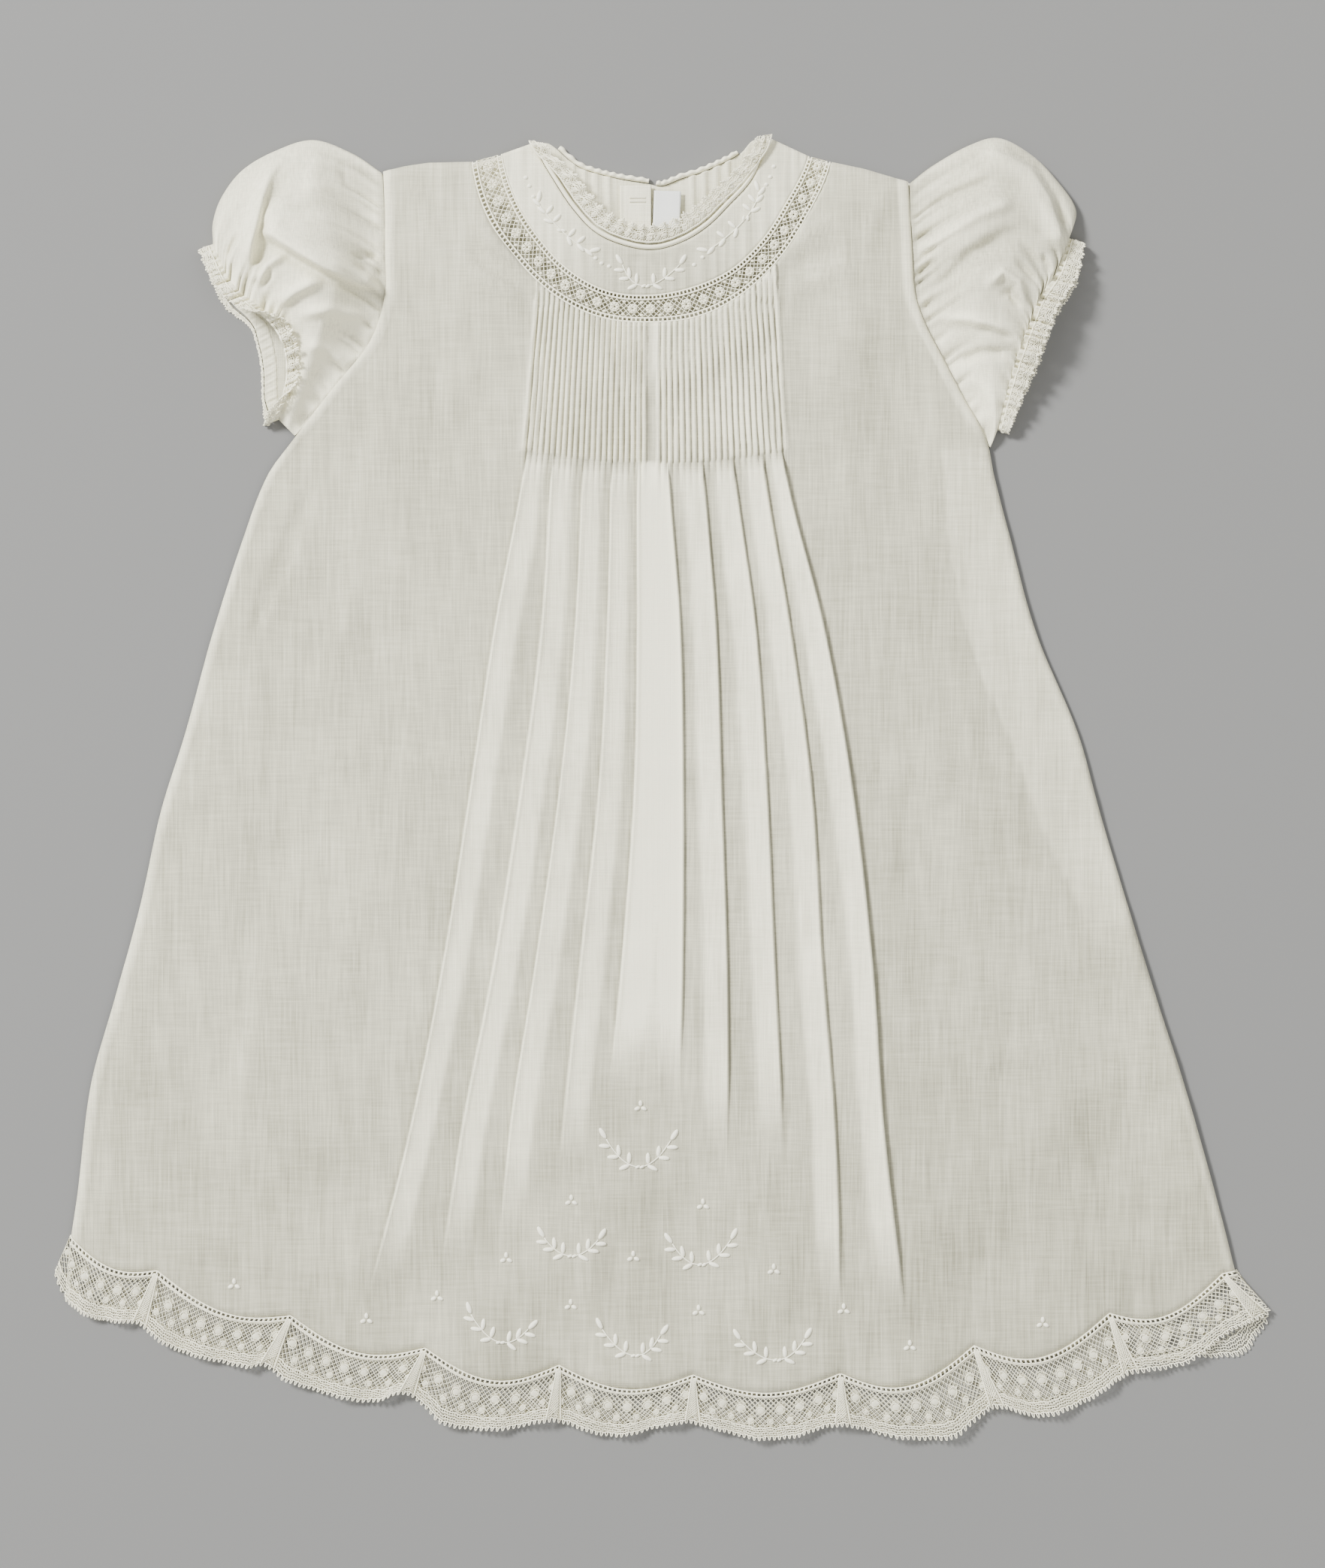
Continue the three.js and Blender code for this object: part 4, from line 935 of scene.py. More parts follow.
@dataclass
class BackPanel:
    """The back: flat on the surface, gathered at the neck, with a slit down its middle."""

    pattern: Pattern
    side_columns: int = 40
    skirt_rows: int = 44
    middle: float = -4.0
    slit: tuple[float, float] = (-4.2, -3.8)
    slit_foot: float = 92.0
    slit_rows: int = 52
    sides: tuple[float, float] = (-92.8, 83.0)
    neck: tuple[float, float] = (-41.0, 34.0)
    gathers: tuple[float, ...] = (-30.0, -26.5, -22.5, -18.5, 9.5, 13.5, 17.5, 21.5)

    def edges(self, y: Array) -> tuple[Array, Array]:
        """The panel's left and right edges at a level."""
        pattern = self.pattern
        return pattern.left(y) - pattern.peek(y), pattern.right(y) - 0.3 * (y < pattern.UNDERARM[Side.RIGHT])

    def height(self, x: Array, y: Array) -> Array:
        """The top of the back: small gathers below the back neck, and soft waves where the cloth is free."""
        off = np.abs(x - self.middle)
        near = np.exp(-np.maximum(self.pattern.back_top(x) - y, 0) / 22) * (1 - ease(off, 30, 40))
        flutes = sum(np.exp(-(((x - at + 0.03 * (y - 205)) / 0.95) ** 2)) for at in self.gathers)
        fine = 0.25 * np.abs(np.sin(np.pi * (x + 0.6 * np.sin(x)) / 1.7)) * ease(off, 9, 12)
        return 0.5 + (0.95 * flutes + fine) * near + 0.12 * ripple(x, y, 8, 7, 20, 60) * (1 - near)

    def build(self, trims: list[bpy.types.Object]) -> bpy.types.Object:
        """Make the back panel."""
        pattern = self.pattern
        left, right = self.edges(np.array(150.0))
        spans = ((self.sides[0], self.neck[0]), (self.neck[1], self.sides[1]))
        sides = [np.linspace(*span, self.side_columns) for span in spans]
        u = np.concatenate([*sides, np.arange(*self.neck, 0.55), np.array(self.slit)])
        u = np.unique(np.round(u, 3))
        share = np.clip((u - left) / (right - left), 0, 1)

        def x_at(y: Array) -> Array:
            """The columns' x at a level; they stay upright in the middle and spread with the skirt below."""
            a, b = self.edges(y)
            spread = a + (b - a) * share.reshape(-1, *([1] * (np.ndim(y) - 1)))
            upright = u.reshape(-1, *([1] * (np.ndim(y) - 1)))
            return lerp(spread, upright, ease(y, 86, 160) * (np.abs(upright - self.middle) < 88))

        start = rises_through(lambda y: y - pattern.back_top(x_at(y)), 0, 230, u.shape)
        end = rises_through(lambda y: y - pattern.hem(x_at(y)) - pattern.BACK_HEM_LIFT, -230, 0, u.shape)
        foot = np.full(u.shape, self.slit_foot)
        upper = lerp(start[:, None], foot[:, None], np.linspace(0, 1, self.slit_rows) ** 1.3)
        lower = lerp(foot[:, None], end[:, None], np.linspace(0, 1, self.skirt_rows)[1:])
        y = np.concatenate([upper, lower], axis=1)
        x = x_at(y)
        top = np.stack([x, y, self.height(x, y)], -1)
        keep = np.ones((len(u) - 1, y.shape[1] - 1), bool)
        gap = int(np.argmin(np.abs(u - self.slit[0])))
        keep[gap, : self.slit_rows - 1] = False
        piece = Piecework("back_cloth")
        past = pattern.left(y) - x
        tone = 0.42 - 0.1 * ease(past, -1, 1) + 0.3 * np.exp(-((pattern.back_top(x) - y) / 14) ** 2)
        from_neck = np.hypot(x - pattern.NECK[0], y - pattern.NECK[1])
        # Painted shade: the back is darkened in a ring under the lace insertion band, so the band's holes
        # read dark.
        painted_shade_under_band = ease(from_neck, 43, 46) * (1 - ease(from_neck, 53, 56))
        tone = tone - 0.42 * painted_shade_under_band * (y < pattern.front_top(x) + 12)
        piece.add_shell(top, levelled(top, 0), keep=keep, tone=tone)
        made = piece.make(BATISTE, "back_panel")
        return made


@dataclass
class Yoke:
    """The round front yoke, a plain ring of batiste between the neck and the insertion band."""

    pattern: Pattern
    columns: int = 150
    rows: int = 16
    thickness: float = 0.3

    def height(self, x: Array, y: Array) -> Array:
        """The top of the yoke: nearly flat, with faint puckers from its stitching."""
        return self.pattern.FRONT_TOP + 0.2 + 0.1 * ripple(x, y, 12, 8, 7, 22)

    def place(self, turn: Array, share: Array, lift: Array | float = 0.0) -> Array:
        """A point of the yoke, a share of the way from the neck's curve to the band's, lifted off it."""
        inner, outer = self.pattern.on_yoke("neck", turn), self.pattern.on_yoke("inner", turn)
        x, y = lerp(inner[0], outer[0], share), lerp(inner[1], outer[1], share)
        return np.stack([x, y, self.height(x, y) + lift], -1)

    def build(self, trims: list[bpy.types.Object]) -> bpy.types.Object:
        """Make the yoke."""
        turn, share = crossed(np.linspace(0, 1, self.columns), np.linspace(0.01, 0.99, self.rows))
        top = self.place(turn, share)
        piece = Piecework("yoke_cloth")
        streaks = 0.5 + 0.5 * np.sin(top[..., 0] * 1.55 + 2 * np.sin(top[..., 0] * 0.31))
        tone = 0.84 - 0.46 * ease(turn, 0.12, 0.46) + 0.28 * ease(turn, 0.56, 0.85)
        tone = tone - 0.22 * (streaks - 0.5) * ease(share, 0.1, 0.4)
        tone = tone + 0.12 * (1 - ease(share, 0.03, 0.1))
        piece.add_shell(top, lowered(top, self.thickness), tone=tone)
        made = piece.make(BATISTE, "yoke")
        return made


# Lace


LACE_TUCK_LEAN = 0.6  # how far a pressed tuck of the hem lace leans along the hem on its way out


def tuck_half(share: Array) -> Array:
    """Half the width of a pressed tuck of the hem lace, a share of the way out from the hem."""
    return lerp(0.5, 2.7, share)


def laid(place: Place, s: Array, t: Array | float, lift: Array | float) -> Array:
    """Carry flat places to where they lie. One distance or one lift may serve them all."""
    return place(*np.broadcast_arrays(s, t, lift))


@dataclass
class LaceRibbon:
    """A lace edging along a heading: diamond net, woven dots, a border of cords, picots and pressed tucks.

    It is worked out flat, s along the heading and t away from it, and place carries it to where it lies.
    """

    name: str
    place: Place
    length: float
    width: float
    net: float = 1.5
    thread: float = 0.17
    border: tuple[float, ...] = (0.0, -0.75, -1.5, -2.3, -3.0)
    cord: float = 0.2
    scallop: float = 6.6
    bulge: float = 0.3
    dots: tuple[tuple[float, float], ...] = ((6.2, 1.3), (9.9, 0.85))
    dot_pitch: float = 6.5
    picot: float = 1.65
    picot_reach: float = 1.25
    heading: float = 1.6
    tucks: tuple[float, ...] = ()
    taken_up: float = 1.02

    def edge(self, s: Array) -> Array:
        """The border's outer edge: width less picots and bulge, plus bulge * |sin(pi s / scallop)|."""
        bow = self.bulge * np.abs(np.sin(np.pi * s / self.scallop))
        return self.width - self.picot_reach - self.bulge + bow

    def _strands(self, sign: int) -> Array:
        """Slanting threads of the net, one family of the two."""
        reach = self.width - self.picot_reach + self.border[-1]
        starts = np.arange(-reach, self.length + reach, self.net)
        t = np.linspace(self.heading * 0.85, reach, max(int(reach / 1.1), 4))
        s = np.clip(starts[:, None] + sign * (t - reach / 2), 0.05, self.length - 0.05)
        lift = 0.06 * sign + 0.08 * np.sin(TAU * s / 0.9)
        return laid(self.place, s, t, lift)

    def _line(self, t: float, lift: float, step: float = 0.9) -> Array:
        """A thread along the whole ribbon at a distance from the heading."""
        s = np.linspace(0, self.length, int(self.length / step))
        return laid(self.place, s, t, lift)[None]

    def _add_border(self, piece: Piecework) -> None:
        """The close outer border: wavy cords along the edge, and short threads across them."""
        s = np.linspace(0, self.length, int(self.length / 0.55))
        for row, offset in enumerate(self.border):
            sway = 0.16 * np.sin(TAU * s / (2.2 + 0.3 * row) + row)
            path = self.place(s, self.edge(s) + offset + sway, 0.12 + 0.06 * np.sin(TAU * s / 1.4 + row))
            outermost = row in (0, len(self.border) - 1)
            piece.add_cords(path[None], self.cord * (1.15 if outermost else 0.85), tone=0.95)
        cross = np.arange(0.3, self.length, 0.85)
        reach = np.linspace(0, 1, 4)
        t = lerp(self.edge(cross)[:, None] + self.border[-1], self.edge(cross)[:, None], reach)
        path = laid(self.place, cross[:, None] + 0.3 * np.sin(t * 3), t, 0.05)
        piece.add_cords(path, 0.15, 3, tone=0.85)

    def _add_picots(self, piece: Piecework) -> None:
        """Small loops along the outer edge, each an arch of thread."""
        middle = np.arange(self.picot / 2, self.length - self.picot / 2, self.picot)
        turn = np.linspace(0, np.pi, 6)
        s = middle[:, None] - 0.24 * self.picot * np.cos(turn)
        t = self.edge(middle)[:, None] + self.picot_reach * np.sin(turn)
        piece.add_cords(laid(self.place, s, t, 0.14), 0.2, 4)

    def _add_dots(self, piece: Piecework) -> None:
        """Woven dots in staggered rows, each a flat mound with a ring round it."""
        for row, (t, size) in enumerate(self.dots):
            s = np.arange(self.dot_pitch * (0.25 + 0.5 * (row % 2)), self.length - 1.5, self.dot_pitch)
            centre = laid(self.place, s, t, 0.1)
            piece.add_beads(centre, 0.0, size, size * 0.9, 0.22, 4, 8, tone=0.55, stitched=False)
            turn = np.linspace(0, TAU, 11)
            ring_s = s[:, None] + (size * 1.15) * np.cos(turn)
            ring_t = t + (size * 1.05) * np.sin(turn)
            piece.add_cords(laid(self.place, ring_s, ring_t, 0.2), 0.17, 4)

    def _add_tucks(self, piece: Piecework) -> None:
        """The doubled net of each pressed tuck: a wedge between its two folds, from heading to edge."""
        step = np.arange(-2.0, self.width - 2.5, 0.8)
        across = np.linspace(-1, 1, 5)
        middles = np.array(self.tucks)
        for sign in (-1, 1):
            t = np.clip(step[:, None] + sign * across * 2.0, 0.9, self.width - 1.2)
            down = t / self.width
            s = middles[:, None, None] + across * tuck_half(down) + LACE_TUCK_LEAN * down
            s = s.reshape(-1, len(across))
            t = np.broadcast_to(t, (len(middles), *t.shape)).reshape(-1, len(across))
            piece.add_cords(laid(self.place, s, t, 0.42), self.thread, 3, tone=0.9)
        t = np.linspace(0.6, self.width - 1.0, 14)
        for sign in (-1, 1):
            s = middles[:, None] + sign * tuck_half(t / self.width) + LACE_TUCK_LEAN * t / self.width
            piece.add_cords(laid(self.place, s, t, 0.45), 0.26, 5)

    def build(self) -> bpy.types.Object:
        """Make the lace."""
        net = Piecework(f"{self.name}_net")
        for sign in (-1, 1):
            net.add_cords(self._strands(sign), self.thread, 3, tone=0.85)
        for share in (0.75, 1.0):
            net.add_cords(self._line(lerp(0.1, self.heading, share), 0.12), 0.23)
        self._add_border(net)
        if self.dots:
            self._add_dots(net)
        if self.tucks:
            self._add_tucks(net)
        self._add_picots(net)
        return net.make(LACE, self.name)

    def declare(self, made: bpy.types.Object) -> None:
        """Work out how long and wide the lace was cut, a fiftieth longer than it lies; nothing is done with
        it.
        """
        flat = (self.length * self.taken_up * MM, self.width * MM)


@dataclass
class HemLace:
    """The two lace edgings of the hem, front and back, with the front's entredeux heading."""

    pattern: Pattern
    width: float = 16.5
    wave: float = 0.8
    pitch: float = 14.8

    def _arc(self, start: float, end: float) -> tuple[Array, Array]:
        """Length along the hem, and x, at close steps."""
        x = np.linspace(start, end, 3000)
        y = self.pattern.hem(x)
        return arc_along(x, y), x

    def _mapping(self, start: float, end: float, front: bool) -> tuple[Place, float, tuple[float, ...]]:
        """How the flat lace lies below the hem, its length there, and where the hem's peaks are along it."""
        arc, xs = self._arc(start, end)
        pattern = self.pattern
        rows = pattern.HEM_EDGE if front else pattern.BACK_HEM_EDGE
        at, out, edge = zip(*rows)
        out_x, out_y = Line(at, out), Line(at, edge)
        peaks = np.array([row[0] for row in pattern.HEM[1:-1]])
        base, lift_y = (1.75, 0.0) if front else (0.3, pattern.BACK_HEM_LIFT)

        def place(s: Array, t: Array, lift: Array) -> Array:
            """From the hem to the lace's edge by t / width, rippled, raised where a tuck doubles it."""
            x = np.interp(s, arc, xs)
            down = t / self.width
            place_x = lerp(x, out_x(x), down)
            place_y = lerp(pattern.hem(x) + lift_y - 0.4, out_y(x), down)
            near = np.min(np.abs(x[..., None] + LACE_TUCK_LEAN * down[..., None] - peaks), axis=-1)
            half = tuck_half(down)
            tuck = 0.5 * (1 - ease(near, half - 0.3, half + 0.3)) * ease(down, 0.0, 0.2)
            ruck = 0.35 * np.exp(-(((near - 5.5) / 1.6) ** 2)) * down
            ripples = self.wave * (1 + np.sin(TAU * x / self.pitch + 1.2 * np.sin(x / 31))) * down
            z = base + front * (ripples + tuck + ruck) + lift
            return np.stack([place_x, place_y, z], -1)

        return place, float(arc[-1]), tuple(float(v) for v in np.interp(peaks, xs, arc))

    def build(self) -> None:
        """Make both edgings and the heading's ladder."""
        pattern = self.pattern
        left = float(rises_through(lambda x: x - pattern.left(pattern.hem(x)), -230, -150, ()))
        right = float(rises_through(lambda x: x - pattern.right(pattern.hem(x)), 150, 215, ()))
        place, length, peaks = self._mapping(left, right, True)
        heading = Ladder(
            "hem_entredeux", place, length, -0.1, 1.15, 0.5, rung=1.6, cord=0.24, rung_width=0.34
        ).build()
        front = LaceRibbon("hem_lace_front", place, length, self.width, net=1.75, thread=0.15, tucks=peaks)
        front.declare(front.build())
        place, length, _ = self._mapping(left, right, False)
        back = LaceRibbon("hem_lace_back", place, length, self.width, net=1.75, thread=0.13)
        back.declare(back.build())


@dataclass
class Ladder:
    """Entredeux: two cords with rungs between them, holes showing in between, laid along a mapped line."""

    name: str
    place: Place
    length: float
    near: float
    far: float
    lift: float
    rung: float = 1.4
    cord: float = 0.27
    rung_width: float = 0.3

    def build(self) -> bpy.types.Object:
        """Make the ladder."""
        s = np.linspace(0, self.length, int(self.length / 0.7))
        piece = Piecework(self.name)
        for t in (self.near, self.far):
            path = laid(self.place, s, t, self.lift + 0.06 * np.sin(TAU * s / 0.9))
            piece.add_cords(path[None], self.cord, 6)
        at = np.arange(self.rung / 2, self.length, self.rung)
        path = laid(self.place, at[:, None], np.linspace(self.near, self.far, 3), self.lift)
        piece.add_cords(path, self.rung_width, 6, 0.7, tone=0.95)
        return piece.make(LACE)


@dataclass
class InsertionBand:
    """The lace insertion round the yoke: open net with ring flowers, an entredeux ladder along both edges."""

    pattern: Pattern
    lift: float = 2.15
    net: float = 1.8
    width: float = 9.0
    motif_pitch: float = 6.0
    STEPS = 800  # points at which its middle line is measured

    def _turn(self, s: Array) -> Array:
        """The share of the band's turn at a length along its middle."""
        turn = np.linspace(0, 1, self.STEPS)
        return np.interp(s, arc_along(*self._middle(turn)), turn)

    def _middle(self, turn: Array) -> tuple[Array, Array]:
        """The band's middle line."""
        inner, outer = self.pattern.on_yoke("inner", turn), self.pattern.on_yoke("outer", turn)
        return (inner[0] + outer[0]) / 2, (inner[1] + outer[1]) / 2

    def length(self) -> float:
        """The band's length along its middle."""
        return length_of(*self._middle(np.linspace(0, 1, self.STEPS)))

    def place(self, s: Array, share: Array, lift: Array) -> Array:
        """A point at a length along the band and a share of the way across it."""
        turn = self._turn(s)
        inner, outer = self.pattern.on_yoke("inner", turn), self.pattern.on_yoke("outer", turn)
        x, y = lerp(inner[0], outer[0], share), lerp(inner[1], outer[1], share)
        return np.stack([x, y, self.lift + lift + 0.1 * ripple(x, y, 21, 6, 9, 25)], -1)

    def build(self) -> None:
        """Make the band's net, its flowers and its two ladders."""
        length, width = self.length(), self.width
        net = Piecework("insertion_net")
        for sign in (-1, 1):
            starts = np.arange(-width, length + width, self.net)
            share = np.linspace(0.12, 0.88, 8)
            s = np.clip(starts[:, None] + sign * (share - 0.5) * width, 0.05, length - 0.05)
            net.add_cords(laid(self.place, s, share, 0.05 * sign), 0.16, 3)
        s = np.linspace(0, length, int(length / 0.9))
        for share in (0.15, 0.85):
            net.add_cords(laid(self.place, s, share, 0.0)[None], 0.2, tone=0.9)
        self._add_flowers(net, length)
        made = net.make(LACE, "insertion_band")
        ladders = [
            Ladder(f"band_entredeux_{name}", self.place, length, near, far, 0.3).build()
            for name, near, far in (("inner", 0.0, 0.15), ("outer", 0.85, 1.0))
        ]
        length * MM

    def _add_flowers(self, net: Piecework, length: float) -> None:
        """Ring flowers along the middle: a ring of seven round petals about an open centre."""
        centres = np.arange(self.motif_pitch / 2, length - 1, self.motif_pitch)
        turn = np.arange(7) * TAU / 7
        s = centres[:, None] + 0.95 * np.cos(turn)
        petals = laid(self.place, s, 0.5 + 0.95 / self.width * np.sin(turn), 0.25)
        net.add_beads(petals.reshape(-1, 3), 0.0, 0.5, 0.46, 0.4, 3, 6, tone=0.85, stitched=False)
        around = np.linspace(0, TAU, 12)
        for size in (0.5, 1.5):
            ring_s = centres[:, None] + size * np.cos(around)
            ring_share = 0.5 + size / self.width * np.sin(around)
            net.add_cords(laid(self.place, ring_s, ring_share, 0.2), 0.17)
        between = centres[:-1] + self.motif_pitch / 2
        for off in (-0.24, 0.24):
            dots = laid(self.place, between, 0.5 + off, 0.15)
            net.add_beads(dots, 0.0, 0.6, 0.5, 0.25, 3, 6, tone=0.95, stitched=False)


# Neck


@dataclass
class NeckFinish:
    """The bound neck edge, front and back, its lace, the placket in the neck hole and the bare label."""

    pattern: Pattern
    binding: float = 1.5
    lace: float = 6.2
    wave: float = 5.6
    placket_x: tuple[float, float] = (-14.6, -4.3)
    placket_y: tuple[float, float] = (187.7, 202.3)
    buttonhole_x: tuple[float, float] = (-11.4, -6.2)
    buttonhole_y: float = 197.6
    label_size: tuple[float, float] = (9.0, 12.5)
    label_at: tuple[float, float] = (1.0, 194.2)
    label_tilt: float = -2.0  # degrees

    def front_place(self, s: Array, t: Array, lift: Array) -> Array:
        """The neck lace: inwards from the binding, rising and waving, turned out over it at both ends."""
        share = t / self.lace
        clump = np.sin(TAU * s / self.wave + 1.4 * np.sin(s / 8.3))
        turn = (s + 0.4 * share * np.cos(TAU * s / self.wave)) / self.front_length()
        turned = np.exp(-((s / 5.5) ** 2)) + np.exp(-(((self.front_length() - s) / 8.0) ** 2))
        x, y = self.pattern.on_yoke("neck", turn, 4.2 * turned - 1.7 - t * (1 + 0.07 * clump))
        z = lerp(2.9, 4.6, share) + 0.75 * share * clump + 1.0 * turned + lift
        return np.stack([x, y, z], -1)

    def front_length(self) -> float:
        """The length of the front neck edge."""
        return length_of(*self.pattern.on_yoke("neck", np.linspace(0, 1, 400)))

    def _back_path(self, x: Array, off: Array) -> tuple[Array, Array]:
        """Points past the back's top edge."""
        top = self.pattern.back_top
        slope = top(x + 0.5) - top(x - 0.5)
        spread = 1 / np.hypot(slope, 1)
        return x - off * spread * slope, top(x) + off * spread

    def _build_front_binding(self) -> bpy.types.Object:
        """A folded strip, round on top, along the front neck."""
        turn, around = crossed(np.linspace(0, 1, 130), np.linspace(0, 1, 9))
        x, y = self.pattern.on_yoke("neck", turn, -0.15 - self.binding * (1 - around))
        z = 2.5 + 0.75 * np.sin(np.pi * around) ** 0.6 + 0.06 * np.sin(TAU * turn * 60)
        top = np.stack([x, y, z], -1)
        piece = Piecework("neck_binding_cloth")
        piece.add_shell(top, levelled(top, 1.6), tone=0.92)
        return piece.make(BINDING, "neck_binding")

    def _build_back_binding(self, side: str, start: float, end: float) -> bpy.types.Object:
        """A folded strip along one half of the back neck."""
        x0, around = crossed(np.linspace(start, end, 120), np.linspace(0, 1, 9))
        lumps = np.sin(TAU * x0 / 2.9 + 1.3 * np.sin(x0 / 3.1))
        x, y = self._back_path(x0, 0.25 + self.binding * around + 0.22 * lumps * around)
        z = 1.1 + (0.7 + 0.22 * lumps) * np.sin(np.pi * around) ** 0.6
        top = np.stack([x, y, z], -1)
        piece = Piecework(f"back_neck_binding_{side}_cloth")
        piece.add_shell(top, levelled(top, 0.2), tone=0.9)
        return piece.make(BINDING, f"back_neck_binding_{side}")

    def _build_placket(self) -> list[bpy.types.Object]:
        """The lapped placket of the back opening, with its stitching and a worked buttonhole."""
        x, y = crossed(np.linspace(*self.placket_x, 24), np.linspace(*self.placket_y, 30))
        y = np.minimum(y, self.pattern.back_top(x) - 0.2)
        z = 2.0 - 0.25 * np.exp(-((x + 13.4) / 0.5) ** 2) + 0.1 * ripple(x, y, 4, 6, 5, 12)
        top = np.stack([x, y, z], -1)
        piece = Piecework("back_placket_cloth")
        piece.add_shell(top, lowered(top, 0.4), tone=0.9)
        made = piece.make(BATISTE, "back_placket")
        hole = Piecework("buttonhole_stitching")
        at = np.linspace(*self.buttonhole_x, 22)
        for side in (-1, 1):
            levels = [self.buttonhole_y + side * reach for reach in (0.25, 1.0)]
            ends = [np.stack(np.broadcast_arrays(at, level, 2.12), -1) for level in levels]
            hole.add_cords(np.stack(ends, 1), 0.14)
        return [made, hole.make(LACE)]

    def _build_label(self) -> bpy.types.Object:
        """The woven care label, left bare, sewn across its top."""
        wide, high = self.label_size
        u, v = crossed(np.linspace(-wide / 2, wide / 2, 14), np.linspace(-high / 2, high / 2, 18))
        turn = np.radians(self.label_tilt)
        x = self.label_at[0] + u * np.cos(turn) - v * np.sin(turn)
        y = self.label_at[1] + u * np.sin(turn) + v * np.cos(turn)
        z = 2.0 + 0.35 * ((v - high / 2) / high) ** 2 + 0.12 * np.sin(u / 2.2)
        top = np.stack([x, y, z], -1)
        piece = Piecework("care_label_tape")
        piece.add_shell(top, lowered(top, 0.25), tone=0.9)
        return piece.make(TAPE, "care_label")

    def build_front(self) -> list[bpy.types.Object]:
        """Make the front neck's binding and lace."""
        lace = LaceRibbon(
            "neck_lace", self.front_place, self.front_length(), self.lace,
            net=1.15, thread=0.17, border=(0.0, -0.7, -1.5, -2.1), cord=0.22, scallop=3.4, bulge=0.5,
            dots=((2.3, 0.85),), dot_pitch=3.2, picot=1.3, picot_reach=0.8, heading=0.8,
        )
        return [self._build_front_binding(), lace.build()]

    def build_back(self) -> list[bpy.types.Object]:
        """Make the back neck's bindings, its placket and the label."""
        halves = (("left", -35.5, -5.2), ("right", -2.8, 25.0))
        bindings = [self._build_back_binding(*half) for half in halves]
        return [*bindings, *self._build_placket(), self._build_label()]


# Sleeves


@dataclass(frozen=True)
class LaceTurn:
    """A cuff's lace turned back over the sleeve: its angle and width there, and where round the cuff."""

    angle: float
    width: float
    start: float
    full: float
    back: float


@dataclass(frozen=True)
class SleeveCut:
    """A sleeve's plan and its creases.

    The rows of over, its upper folded edge, are share, x, y. The rows of cuff are share, x and y in front, x
    and y behind, and how much of the casing and lace stands out there. Out is the direction that they take.
    """

    side: Side
    over: tuple[tuple[float, float, float], ...]
    cuff: tuple[tuple[float, float, float, float, float, float], ...]
    out: tuple[float, float]
    lace: float
    turn: LaceTurn
    tone: float
    creases: tuple[Crease, ...]


